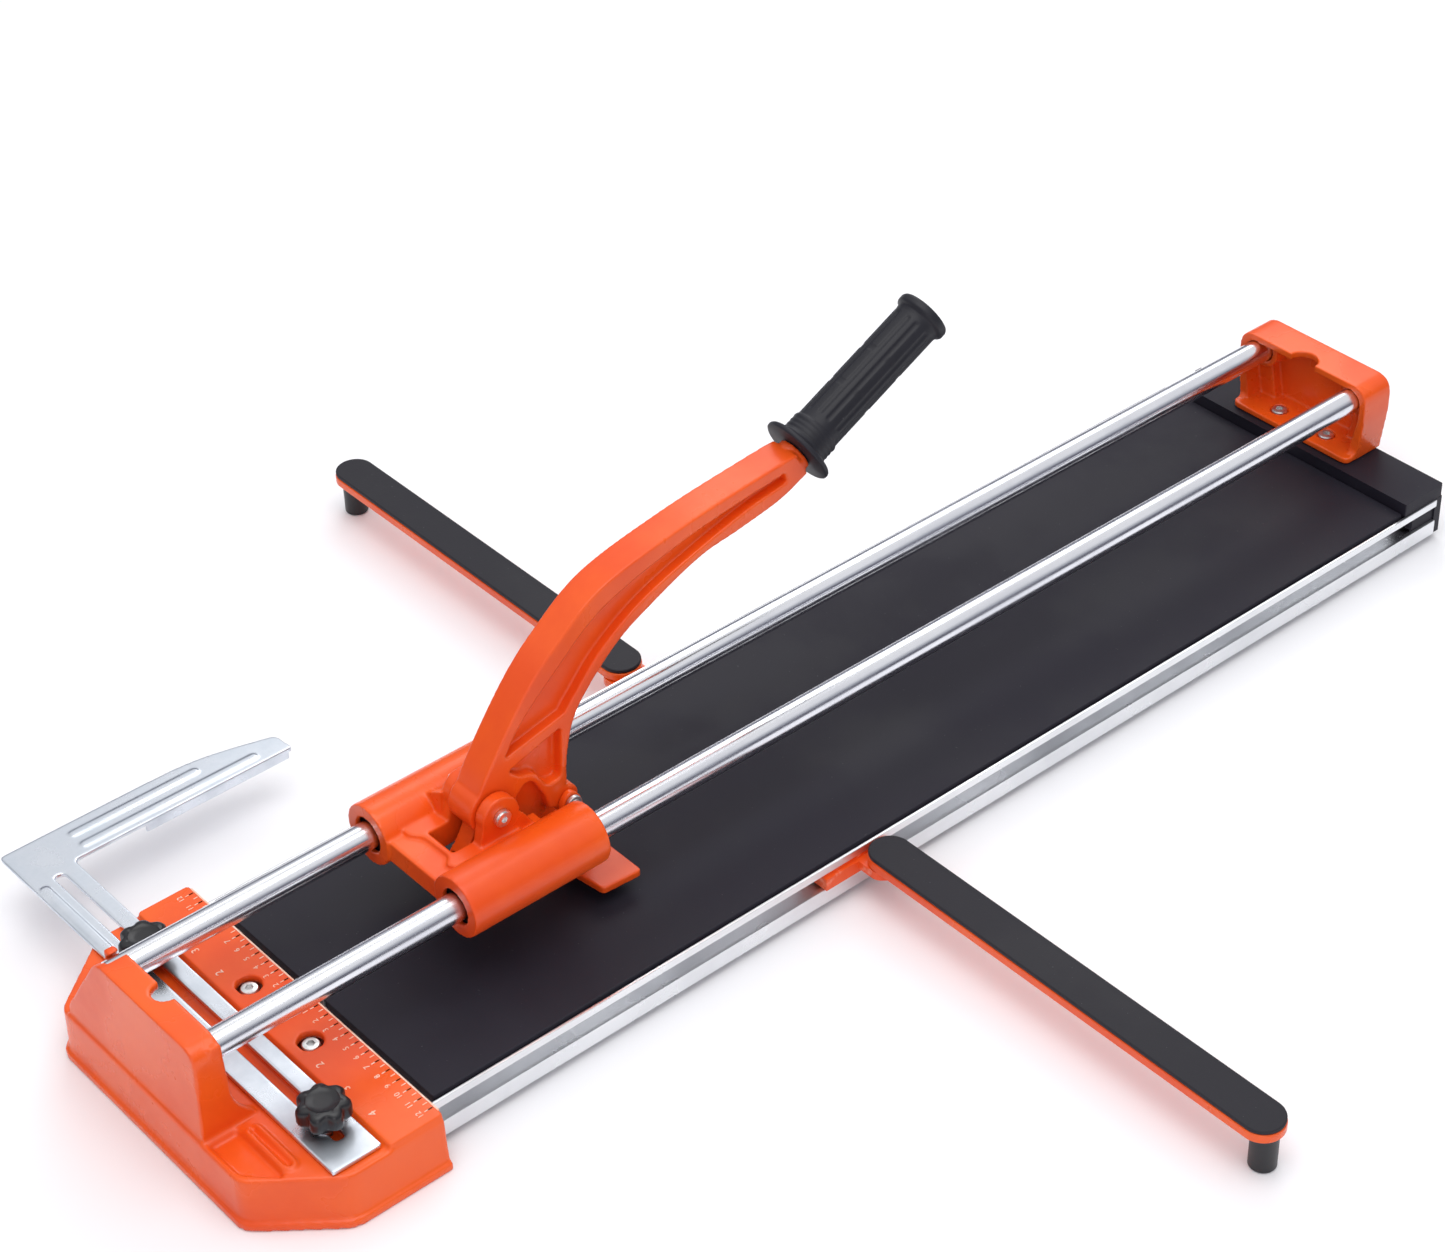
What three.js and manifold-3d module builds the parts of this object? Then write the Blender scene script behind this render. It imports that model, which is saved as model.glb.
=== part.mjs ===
// Manual tile cutter of the 800 mm class. Millimetres, +Z up, +Y towards the back.
// The rails run along Y. Every station along the machine is measured from the front edge
// of the table, and the whole machine is then shifted so that its middle stands on the origin.
import * as THREE from 'three';
import { mergeVertices } from 'three/addons/utils/BufferGeometryUtils.js';
import Module from 'manifold-3d';

const wasm = await Module();
wasm.setup();

// ---- driving dimensions -------------------------------------------------------------
const GAP = 0.3;                       // between pieces that touch
const ROUND = 24;                      // sides of a round piece
const SMALL_ROUND = 12;                // sides of a small screw or washer

const FRONT = -120;                    // front rim of the base
const REAR = 868;                      // back face of the rear bracket
const MIDDLE = (FRONT + REAR) / 2;

const RAIL = { r: 8.75, x: 42.5, z: 89, front: -107, rear: 862 };
const BED = { half: 113.5, bottom: 5, ledge: 30, top: 34, front: -38, rear: 858 };
const CHANNEL = { floor: 101.5, low: 17, high: 28.5 };
const TABLE = { half: 110, inner: 5, top: 36, rear: 825 };
const BREAKER_BAR = { half: 3.9, bottom: 22.5, top: 36.8 };
const CAP = { half: 112, left: 99, front: 826, rear: 865, top: 44 };
const BRACKET = { half: 57, foot: 53, front: 841, toe: 832, bottom: 44 + GAP, plate: 49, top: 103, wall: 5 };

const BRACKET_SCREW = { x: 21.7, y: 847, head: 5.6, seat: 46, hole: 3.3, recess: 6.4 };
const BASE = { half: 132.8, rear: -5, rim: 5, deck: 36, fence: 40, fenceFront: -42, wall: 6 };
const POST = { half: 54, top: 100.5, toe: -117.5, front: -113, rear: -94, heel: -79, wall: 6 };
const GUSSET_FOOT_X = -85;             // the left cheek of the post slopes out to here
const FENCE_BOLT = { x: 31, y: -27, hole: 7.75, head: 5.5 };

const SQUARE = { z: BASE.deck + GAP, thick: 3, left: -228, right: 123, front: -76.5, rear: -43.5 };
const BLADE = { inner: -195.5, tip: 116.6 };
const SLOT = { left: -190, right: 105, y: -58, r: 3.75 };
const CLAMP = { x: 90, y: -58, rod: 3, knob: 16, z: 42, height: 16, lobes: 7 };

const CARRIAGE = { front: 71.6, rear: 170.2, r: 20, bridgeTop: 95, bridgeBottom: 80, window: 11.8 };
const BUSH = { length: 22, r: 14.5, clearance: 0.08 };
const PIVOT = { y: 124, z: 112, ear: 12, earOuter: 20, bolt: 4, clearance: 0.08 };
const LEVER = { half: 11, barrel: 14, web: 6.5 };
const PIN = { y: 178, z: 90, r: 3.5, boss: 9 };
const FOOT = { half: 54, front: 170, rear: 198, top: 50, thick: 5, cheek: 5 };
const WHEEL = { y: 97, z: 60, r: 11, width: 1.6, axle: 2 };
const GRIP = { y: 372.5, z: 241.8, tipY: 477.6, tipZ: 294.3, r: 15, collar: 16, flange: 23.5, end: 17.5 };
const TANG = { r: 6, length: 92 };

const ARM = { y: 330, pivotX: 129, tipX: 441, half: 14, bottom: 27, bar: 33, top: 36 };
const ARM_FOOT = { x: 430, r: 8.3 };
const ARM_BOLT = { r: 3, hole: 3.3, head: 5.2 };
const SHOE = { front: 26, z: 17.5, plate: 20.5, top: 26.4 };
const PAD = { x: 85, y: 800, r: 12, height: 5 - GAP };

// ---- finishes -----------------------------------------------------------------------
const finish = (color, metalness, roughness) =>
  new THREE.MeshStandardMaterial({ color, metalness, roughness });
const orange = finish(0xf0501e, 0.0, 0.35);
const chrome = finish(0xe8e8ee, 1.0, 0.12);
const zinc = finish(0xcfd6de, 0.9, 0.4);
const alloy = finish(0xc9ccd2, 0.95, 0.35);
const tableBlack = finish(0x2b2930, 0.0, 0.55);
const plasticBlack = finish(0x1f2024, 0.0, 0.5);
const rubberBlack = finish(0x242428, 0.0, 0.8);
const screwSteel = finish(0xd6d8da, 1.0, 0.3);
const carbide = finish(0x8f9296, 1.0, 0.25);

// ---- closed shapes ------------------------------------------------------------------
const box = (x0, x1, y0, y1, z0, z1) =>
  new THREE.BoxGeometry(x1 - x0, y1 - y0, z1 - z0)
    .translate((x0 + x1) / 2, (y0 + y1) / 2, (z0 + z1) / 2);
const rodY = (r, x, z, y0, y1, sides = ROUND) =>
  new THREE.CylinderGeometry(r, r, y1 - y0, sides).translate(x, (y0 + y1) / 2, z);
const rodZ = (r, x, y, z0, z1, sides = ROUND) =>
  new THREE.CylinderGeometry(r, r, z1 - z0, sides).rotateX(Math.PI / 2)
    .translate(x, y, (z0 + z1) / 2);
const rodX = (r, y, z, x0, x1, sides = ROUND) =>
  new THREE.CylinderGeometry(r, r, x1 - x0, sides).rotateZ(Math.PI / 2)
    .translate((x0 + x1) / 2, y, z);

// A closed outline from corners [u, v, radius]; a corner with no radius stays sharp.
function outline(corners) {
  const shape = new THREE.Shape();
  const at = (i) => new THREE.Vector2(...corners[(i + corners.length) % corners.length]);
  corners.forEach(([u, v, radius = 0], i) => {
    const here = at(i);
    const before = at(i - 1).sub(here).setLength(radius || 1e-9);
    const after = at(i + 1).sub(here).setLength(radius || 1e-9);
    const enter = here.clone().add(before);
    const leave = here.clone().add(after);
    if (i === 0) shape.moveTo(enter.x, enter.y);
    else shape.lineTo(enter.x, enter.y);
    if (radius) shape.quadraticCurveTo(u, v, leave.x, leave.y);
  });
  shape.closePath();
  return shape;
}

// Extrusions of an outline: seen from above, from the front and from the side.
const extruded = (shape, depth, curveSegments = 4) =>
  new THREE.ExtrudeGeometry(shape, { depth, bevelEnabled: false, curveSegments });
const plate = (shape, z0, z1) => extruded(shape, z1 - z0).translate(0, 0, z0);
const alongX = (shape, x0, x1, curveSegments) => extruded(shape, x1 - x0, curveSegments)
  .applyMatrix4(new THREE.Matrix4().makeBasis(
    new THREE.Vector3(0, 1, 0), new THREE.Vector3(0, 0, 1), new THREE.Vector3(1, 0, 0)))
  .translate(x0, 0, 0);
const alongY = (shape, y0, y1) => extruded(shape, y1 - y0)
  .applyMatrix4(new THREE.Matrix4().makeBasis(
    new THREE.Vector3(1, 0, 0), new THREE.Vector3(0, 0, 1), new THREE.Vector3(0, -1, 0)))
  .translate(0, y1, 0);

// Draws the upper end of a plate in, so that its walls lean like a casting's.
function drafted(geometry, halfX, middleY, halfY, inset) {
  const position = geometry.attributes.position;
  geometry.computeBoundingBox();
  const top = geometry.boundingBox.max.z;
  for (let i = 0; i < position.count; i += 1) {
    if (position.getZ(i) > top - 1e-6) {
      position.setX(i, position.getX(i) * (1 - inset / halfX));
      position.setY(i, middleY + (position.getY(i) - middleY) * (1 - inset / halfY));
    }
  }
  return geometry;
}

// ---- solids: joining and cutting ----------------------------------------------------
function solid(geometry) {
  const bare = geometry.clone();
  bare.deleteAttribute('normal');
  bare.deleteAttribute('uv');
  const merged = mergeVertices(bare, 1e-4);
  return new wasm.Manifold(new wasm.Mesh({
    numProp: 3,
    vertProperties: Float32Array.from(merged.attributes.position.array),
    triVerts: Uint32Array.from(merged.index.array),
  }));
}
const join = (first, ...others) => others.reduce((all, one) => all.add(solid(one)), first);
const cut = (first, ...others) => others.reduce((all, one) => all.subtract(solid(one)), first);

function geometryOf(manifold) {
  const mesh = manifold.getMesh();
  const geometry = new THREE.BufferGeometry();
  geometry.setAttribute('position', new THREE.BufferAttribute(new Float32Array(mesh.vertProperties), 3));
  geometry.setIndex(new THREE.BufferAttribute(new Uint32Array(mesh.triVerts), 1));
  return geometry;
}

const machine = new THREE.Group();
machine.position.y = -MIDDLE;

function place(name, shape, material, x = 0, y = 0, z = 0, parent = machine) {
  const geometry = shape instanceof THREE.BufferGeometry ? shape : geometryOf(shape);
  const mesh = new THREE.Mesh(geometry, material);
  mesh.name = name;
  mesh.position.set(x, y, z);
  parent.add(mesh);
  return mesh;
}
const bothSides = (make) => [['left', -1], ['right', 1]].forEach(([side, sign]) => make(side, sign));

// ---- front base: deck, fence and rail post in one casting -----------------------------
function baseOutline(inset) {
  const half = BASE.half - inset;
  const front = FRONT + inset;
  const right = [
    [half, BASE.rear], [half, -72 + inset, 6], [93 - inset * 0.4, front, 6],
  ];
  const left = right.map(([x, y, r]) => [-x, y, r]).reverse();
  return outline([...right, ...left]);
}

function makeFrontBase() {
  const middleY = (FRONT + BASE.rear) / 2;
  const halfY = (BASE.rear - FRONT) / 2;
  let base = solid(plate(baseOutline(0), 0, BASE.rim));
  base = join(base,
    drafted(plate(baseOutline(2.5), 0, BASE.deck), BASE.half, middleY, halfY, 2.5),
    plate(outline([
      [-128, BASE.fenceFront], [128, BASE.fenceFront, 2], [128, BASE.rear, 2], [-128, BASE.rear],
    ]), BASE.deck - 6, BASE.fence));

  // The rail post: a front outline cut to the side outline of its wall.
  const face = alongY(outline([
    [-POST.half, 30], [POST.half, 30], [POST.half, POST.top, 12], [-POST.half, POST.top, 12],
  ]), POST.toe, POST.heel);
  const side = alongX(outline([
    [POST.toe, 30], [POST.toe, 42, 2], [POST.front, POST.top, 5], [POST.rear, POST.top, 3],
    [POST.rear + 1, 50, 10], [POST.heel, BASE.deck + 1, 3], [POST.heel, 30],
  ]), -POST.half - 40, POST.half + 2);
  const cheek = alongY(outline([
    [GUSSET_FOOT_X, 30], [0, 30], [0, POST.top - 2], [-POST.half + 8, POST.top - 2, 6],
    [GUSSET_FOOT_X, 42, 3],
  ]), POST.toe, POST.rear);
  let post = solid(side).intersect(join(solid(face), cheek));
  post = cut(post, alongY(outline([
    [-POST.half + POST.wall, 42, 5], [POST.half - POST.wall, 42, 5],
    [POST.half - POST.wall, POST.top - 5.5, 8], [-POST.half + POST.wall, POST.top - 5.5, 8],
  ]), POST.front + POST.wall, POST.heel + 1));
  bothSides((_, sign) => {
    post = join(post, rodY(RAIL.r + 2.7, sign * RAIL.x, RAIL.z, POST.front + 2, POST.rear - 3));
  });
  post = cut(post, rodZ(8, 0, POST.rear - 1, POST.top - 7, POST.top + 2, SMALL_ROUND));

  // Underside pockets between ribs, and the seat for the bed under the fence.
  base = cut(base.add(post), box(-BED.half - GAP, BED.half + GAP, BED.front - GAP, 0, -1, BED.top + GAP));
  for (const [x, half, front] of [[-80, 30, -84], [0, 42, FRONT + 14], [80, 30, -84]]) {
    base = cut(base, box(x - half, x + half, front, BED.front - BASE.wall, -1, BASE.deck - 6));
  }
  // Deck details: pocket with its raised rib on the right, slot trench under the square.
  base = cut(base, plate(outline([
    [58, -113], [86, -113, 4], [110, -92, 4], [58, -92, 4],
  ]), BASE.deck - 2, BASE.deck + 1));
  base = join(base, plate(outline([
    [56, -91, 4.5], [100, -91, 4.5], [100, -82, 4.5], [56, -82, 4.5],
  ]), BASE.deck - 3, BASE.deck + 1.2));
  base = cut(base, box(-112, 112, SLOT.y - 5, SLOT.y + 5, BASE.deck - 3, BASE.deck + 1));

  bothSides((_, sign) => {
    base = join(base, rodZ(9, sign * FENCE_BOLT.x, FENCE_BOLT.y, BED.ledge + GAP, BASE.deck));
    base = cut(base,
      rodZ(FENCE_BOLT.hole, sign * FENCE_BOLT.x, FENCE_BOLT.y, BASE.deck - 2, BASE.fence + 1),
      rodZ(3.3, sign * FENCE_BOLT.x, FENCE_BOLT.y, BED.ledge - 2, BASE.deck, SMALL_ROUND),
      rodZ(CLAMP.rod + GAP, sign * CLAMP.x, CLAMP.y, BASE.deck - 8, BASE.deck, SMALL_ROUND),
      rodY(RAIL.r + GAP, sign * RAIL.x, RAIL.z, RAIL.front - GAP, POST.heel + 1),
      rodZ(3, sign * RAIL.x, POST.rear - 8, RAIL.z - RAIL.r - 6, RAIL.z, SMALL_ROUND));
  });
  base = cut(base, rodZ(7, 0, BASE.rear, BASE.deck - 1, BASE.fence + 1, SMALL_ROUND));
  place('front_base', base, orange);
}

// ---- a screw with its head up and its shank down, at the origin ----------------------
function screw(headR, headHeight, shankR, shankLength, socketR) {
  const body = join(solid(rodZ(headR, 0, 0, 0, headHeight, SMALL_ROUND)),
    rodZ(shankR, 0, 0, -shankLength, headHeight / 2, SMALL_ROUND));
  return geometryOf(cut(body, rodZ(socketR, 0, 0, headHeight * 0.45, headHeight + 1, 6)));
}

function makeFasteners() {
  bothSides((side, sign) => {
    place(`fence_bolt_${side}`, screw(FENCE_BOLT.head, 3.6, 3, 8, 2.5), screwSteel,
      sign * FENCE_BOLT.x, FENCE_BOLT.y, BASE.deck - 2 + GAP);
    place(`bracket_screw_${side}`, screw(BRACKET_SCREW.head, 3, 3, 14, 2.5), screwSteel,
      sign * BRACKET_SCREW.x, BRACKET_SCREW.y, BRACKET_SCREW.seat + GAP);
    place(`rail_set_screw_${side}`, rodZ(2.7, 0, 0, 0, 7, SMALL_ROUND), screwSteel,
      sign * RAIL.x, POST.rear - 8, RAIL.z - RAIL.r - GAP - 7);
  });
}

// ---- bed: extruded profile, plates, breaker bar, end cap -------------------------------
function makeBed() {
  let bed = solid(alongY(outline([
    [-BED.half, BED.bottom], [BED.half, BED.bottom], [BED.half, BED.top], [-BED.half, BED.top],
  ]), BED.front, BED.rear));
  const far = BED.rear + 1;
  const near = BED.front - 1;
  bed = cut(bed,
    box(-TABLE.half - GAP, TABLE.half + GAP, near, far, BED.ledge, BED.top + 1),
    box(-BREAKER_BAR.half - GAP, BREAKER_BAR.half + GAP, near, far, BREAKER_BAR.bottom - GAP, BED.top));
  bothSides((_, sign) => {
    const chamber = [9, 97].map((x) => x * sign).sort((a, b) => a - b);
    const channel = [CHANNEL.floor, BED.half + 1].map((x) => x * sign).sort((a, b) => a - b);
    bed = cut(bed,
      box(chamber[0], chamber[1], near, far, BED.bottom + 3, BED.ledge - 3),
      box(channel[0], channel[1], near, far, CHANNEL.low, CHANNEL.high),
      rodZ(3.3, sign * FENCE_BOLT.x, FENCE_BOLT.y, BED.ledge - 4, BED.ledge + 1, SMALL_ROUND),
      rodZ(BRACKET_SCREW.hole, sign * BRACKET_SCREW.x, BRACKET_SCREW.y,
        BED.ledge - 4, BED.ledge + 1, SMALL_ROUND));
  });
  place('bed_profile', bed, alloy);

  bothSides((side, sign) => {
    const x = [TABLE.inner, TABLE.half].map((v) => v * sign).sort((a, b) => a - b);
    place(`table_plate_${side}`, plate(outline([
      [x[0], GAP, 1.5], [x[1], GAP, 1.5], [x[1], TABLE.rear, 1.5], [x[0], TABLE.rear, 1.5],
    ]), BED.ledge + GAP, TABLE.top), tableBlack);
    place(`bed_pad_${side}`, rodZ(PAD.r, 0, 0, 0, PAD.height), rubberBlack, sign * PAD.x, PAD.y, 0);
  });
  const bar = BREAKER_BAR;
  place('breaker_bar', alongY(outline([
    [-bar.half, bar.bottom], [bar.half, bar.bottom], [bar.half, bar.top - 1.4], [1, bar.top],
    [-1, bar.top], [-bar.half, bar.top - 1.4],
  ]), GAP, TABLE.rear), screwSteel);

  const capSkirt = TABLE.half - GAP;
  let cap = join(solid(box(-CAP.left, CAP.half, CAP.front, CAP.rear, BED.top + GAP, CAP.top)),
    box(-CAP.left, capSkirt, CAP.front, CAP.rear, BED.ledge + GAP, CAP.top - 1),
    box(-CAP.half, CAP.half, BED.rear + GAP, CAP.rear, BED.bottom, BED.top));
  bothSides((_, sign) => {
    const plug = [CHANNEL.floor + GAP, CAP.half - 1].map((x) => x * sign).sort((a, b) => a - b);
    cap = join(cap, box(plug[0], plug[1], BED.rear - 22, CAP.rear - 1,
      CHANNEL.low + GAP, CHANNEL.high - GAP));
    cap = cut(cap, rodZ(BRACKET_SCREW.hole, sign * BRACKET_SCREW.x, BRACKET_SCREW.y,
      BED.ledge - 1, CAP.top + 1, SMALL_ROUND));
  });
  place('rear_cap', cap, plasticBlack);
}

// ---- rear bracket ---------------------------------------------------------------------
function makeRearBracket() {
  const b = BRACKET;
  const shell = (inset, bottom) => outline([
    [-b.foot + inset, bottom], [b.foot - inset, bottom], [b.half - inset, b.top - 26, 4],
    [b.half - inset, b.top - inset, 12], [-b.half + inset, b.top - inset, 12],
    [-b.half + inset, b.top - 26, 4],
  ]);
  let bracket = cut(solid(alongY(shell(0, b.bottom), b.front, REAR)),
    alongY(shell(b.wall, b.plate), b.front - 1, REAR - b.wall));
  bracket = join(bracket, plate(outline([
    [-b.foot, b.front + 2], [-b.foot, b.toe, 5], [b.foot, b.toe, 5], [b.foot, b.front + 2],
  ].reverse()), b.bottom, b.plate));
  bothSides((_, sign) => {
    bracket = join(bracket, rodY(RAIL.r + 4.5, sign * RAIL.x, RAIL.z, b.front + 6, REAR - 2));
    bracket = cut(bracket,
      rodY(RAIL.r + GAP, sign * RAIL.x, RAIL.z, b.front - 1, RAIL.rear + GAP),
      rodZ(BRACKET_SCREW.recess, sign * BRACKET_SCREW.x, BRACKET_SCREW.y,
        BRACKET_SCREW.seat, b.plate + 1, SMALL_ROUND),
      rodZ(BRACKET_SCREW.hole, sign * BRACKET_SCREW.x, BRACKET_SCREW.y,
        b.bottom - 1, b.plate, SMALL_ROUND));
  });
  bracket = cut(bracket, rodZ(10.5, 0, b.front, b.top - 8, b.top + 1, ROUND));
  place('rear_bracket', bracket, orange);
}

function makeRails() {
  bothSides((side, sign) => {
    place(`guide_rail_${side}`, rodY(RAIL.r, 0, 0, RAIL.front, RAIL.rear), chrome,
      sign * RAIL.x, 0, RAIL.z);
  });
}

// ---- sliding square, clamp bolts, washers and star knobs -------------------------------
function makeSquare() {
  let square = solid(plate(outline([
    [SQUARE.left, SQUARE.front, 3], [SQUARE.right, SQUARE.front, 1], [SQUARE.right, SQUARE.rear, 1],
    [BLADE.inner, SQUARE.rear, 4], [BLADE.inner, BLADE.tip, 1], [-212, BLADE.tip - 1.5, 2],
    [-219, 93, 6], [-226, 66, 8], [SQUARE.left, 42, 6],
  ]), SQUARE.z, SQUARE.z + SQUARE.thick));
  square = cut(square,
    box(SLOT.left + SLOT.r, SLOT.right - SLOT.r, SLOT.y - SLOT.r, SLOT.y + SLOT.r, 30, 45),
    rodZ(SLOT.r, SLOT.left + SLOT.r, SLOT.y, 30, 45, SMALL_ROUND),
    rodZ(SLOT.r, SLOT.right - SLOT.r, SLOT.y, 30, 45, SMALL_ROUND));
  square = join(square, box(BLADE.inner - 2, BLADE.inner, 8, BLADE.tip - 2, 31, SQUARE.z + 1));
  place('sliding_square', square, zinc);
}

// A star knob about its own axis: a ring of round lobes with hollows between them.
function knobOutline() {
  const shape = new THREE.Shape();
  const steps = CLAMP.lobes * 4;
  for (let i = 0; i < steps; i += 1) {
    const turn = (i / steps) * Math.PI * 2;
    const r = CLAMP.knob * (0.9 + 0.1 * Math.cos(turn * CLAMP.lobes));
    if (i === 0) shape.moveTo(r, 0);
    else shape.lineTo(r * Math.cos(turn), r * Math.sin(turn));
  }
  shape.closePath();
  return shape;
}

function makeClamps() {
  const squareTop = SQUARE.z + SQUARE.thick;
  const crown = new THREE.LatheGeometry([
    [0, 0], [10, 0], [17, 4], [17, 11], [14.5, CLAMP.height - 1], [9, CLAMP.height],
    [8, CLAMP.height - 1.2], [0, CLAMP.height - 1.2],
  ].map(([r, h]) => new THREE.Vector2(r, h)), 14).rotateX(Math.PI / 2);
  const knob = cut(solid(plate(knobOutline(), 0, CLAMP.height)).intersect(solid(crown)),
    rodZ(CLAMP.rod + GAP, 0, 0, -1, 9, SMALL_ROUND));
  bothSides((side, sign) => {
    place(`star_knob_${side}`, geometryOf(knob), plasticBlack, sign * CLAMP.x, CLAMP.y, CLAMP.z);
    const ring = cut(solid(rodZ(8, 0, 0, 0, 1.6, SMALL_ROUND)),
      rodZ(CLAMP.rod + GAP, 0, 0, -1, 3, SMALL_ROUND));
    place(`clamp_washer_${side}`, ring, screwSteel, sign * CLAMP.x, CLAMP.y, squareTop + GAP);
    const bolt = join(solid(rodZ(CLAMP.rod, 0, 0, BASE.deck - 9, CLAMP.z + 8, SMALL_ROUND)),
      rodZ(5.5, 0, 0, BASE.deck - 10, BASE.deck - 6 - GAP, 6));
    place(`clamp_bolt_${side}`, bolt, screwSteel, sign * CLAMP.x, CLAMP.y, 0);
  });
}

// ---- carriage: two rail housings, the bridge between them and the pivot ears -----------
function makeCarriage() {
  const c = CARRIAGE;
  const deep = LEVER.half + 0.8;
  const ear = outline([
    [PIVOT.y - PIVOT.ear - 7, 84], [PIVOT.y + PIVOT.ear + 12, 84], [PIVOT.y + PIVOT.ear, PIVOT.z + 2, 4],
    [PIVOT.y + PIVOT.ear - 3, PIVOT.z + PIVOT.ear, 7], [PIVOT.y - PIVOT.ear + 2, PIVOT.z + PIVOT.ear, 7],
    [PIVOT.y - PIVOT.ear, PIVOT.z + 2, 4],
  ]);
  let carriage = solid(box(-28, 28, c.front + 1.5, c.rear - 18, c.bridgeBottom, c.bridgeTop));
  bothSides((_, sign) => {
    const cheek = [deep, PIVOT.earOuter].map((x) => x * sign).sort((a, b) => a - b);
    const web = [16.5, 30].map((x) => x * sign).sort((a, b) => a - b);
    carriage = join(carriage,
      rodY(c.r, sign * RAIL.x, RAIL.z, c.front, c.rear),
      alongX(ear, cheek[0], cheek[1]),
      box(web[0], web[1], c.rear - 22, c.rear - 4, c.bridgeBottom + 2, c.bridgeTop - 3));
  });
  // A raised step on the bridge in front of the ears, and the sloping cheeks beside it.
  carriage = join(carriage, plate(outline([
    [-20, c.front + 11, 2], [20, c.front + 11, 2], [23, c.rear - 34, 2], [-23, c.rear - 34, 2],
  ]), c.bridgeTop - 2, c.bridgeTop + 2.5));
  carriage = cut(carriage,
    box(-c.window, c.window, c.front + 13, c.rear + 1, c.bridgeBottom - 5, PIVOT.z + 20),
    rodX(PIVOT.bolt + PIVOT.clearance, PIVOT.y, PIVOT.z, -30, 30));
  bothSides((_, sign) => {
    const x = sign * RAIL.x;
    const pocket = BUSH.length + GAP;
    carriage = cut(carriage,
      rodY(RAIL.r + 1, x, RAIL.z, c.front - 1, c.rear + 1),
      rodY(BUSH.r + GAP, x, RAIL.z, c.front + 2 - GAP, c.front + 2 + pocket),
      rodY(BUSH.r + GAP, x, RAIL.z, c.rear - 2 - pocket, c.rear + 1));
    carriage = cut(carriage, rodY(BUSH.r + GAP, x, RAIL.z, c.front - 1, c.front + 4));
  });
  place('carriage', carriage, orange);

  bothSides((side, sign) => {
    for (const [end, y] of [['front', c.front + 2], ['rear', c.rear - 2 - BUSH.length]]) {
      const bush = cut(solid(rodY(BUSH.r, 0, 0, 0, BUSH.length)),
        rodY(RAIL.r + BUSH.clearance, 0, 0, -1, BUSH.length + 1));
      place(`rail_bush_${end}_${side}`, bush, plasticBlack, sign * RAIL.x, y, RAIL.z);
    }
  });
  const bolt = cut(join(solid(rodX(PIVOT.bolt, 0, 0, -PIVOT.earOuter - 6, PIVOT.earOuter + 0.5)),
    rodX(6.6, 0, 0, PIVOT.earOuter + GAP, PIVOT.earOuter + 3.6)),
  rodX(2.8, 0, 0, PIVOT.earOuter + 1.6, PIVOT.earOuter + 5, 6));
  place('pivot_bolt', bolt, screwSteel, 0, PIVOT.y, PIVOT.z);
  const nut = cut(solid(rodX(7, 0, 0, -PIVOT.earOuter - GAP - 5, -PIVOT.earOuter - GAP, 6)),
    rodX(PIVOT.bolt + GAP, 0, 0, -40, 0, SMALL_ROUND));
  place('pivot_nut', nut, screwSteel, 0, PIVOT.y, PIVOT.z);
}

// ---- lever ------------------------------------------------------------------------------
const gripDirection = new THREE.Vector2(GRIP.tipY - GRIP.y, GRIP.tipZ - GRIP.z).normalize();
const gripLength = Math.hypot(GRIP.tipY - GRIP.y, GRIP.tipZ - GRIP.z);
const gripTurn = Math.atan2(gripDirection.y, gripDirection.x);

// The bent arm's side outline: a long curve up its back and another along its belly.
function leverOutline() {
  const shape = new THREE.Shape();
  const points = (list) => list.map(([y, z]) => new THREE.Vector2(y, z));
  shape.moveTo(112, 118);
  shape.splineThru(points([
    [125, 141], [153, 179], [178, 203], [215, 227], [276, 240], [338, 247], [364, 249],
  ]));
  shape.lineTo(372, 232);
  shape.splineThru(points([
    [350, 223], [318, 217], [287, 212], [250, 197], [221, 181], [192, 152], [182, 126], [179, 98],
  ]));
  shape.lineTo(168, 88);
  shape.lineTo(126, 98);
  shape.closePath();
  return shape;
}

// The hollow in each flank of the arm, inside a rim of even width.
function flankHollow() {
  const shape = new THREE.Shape();
  const points = (list) => list.map(([y, z]) => new THREE.Vector2(y, z));
  shape.moveTo(146, 148);
  shape.splineThru(points([[172, 177], [213, 209], [280, 229], [352, 240]]));
  shape.lineTo(354, 231);
  shape.splineThru(points([[314, 225], [250, 207], [210, 184], [183, 156]]));
  shape.closePath();
  return shape;
}

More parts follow.
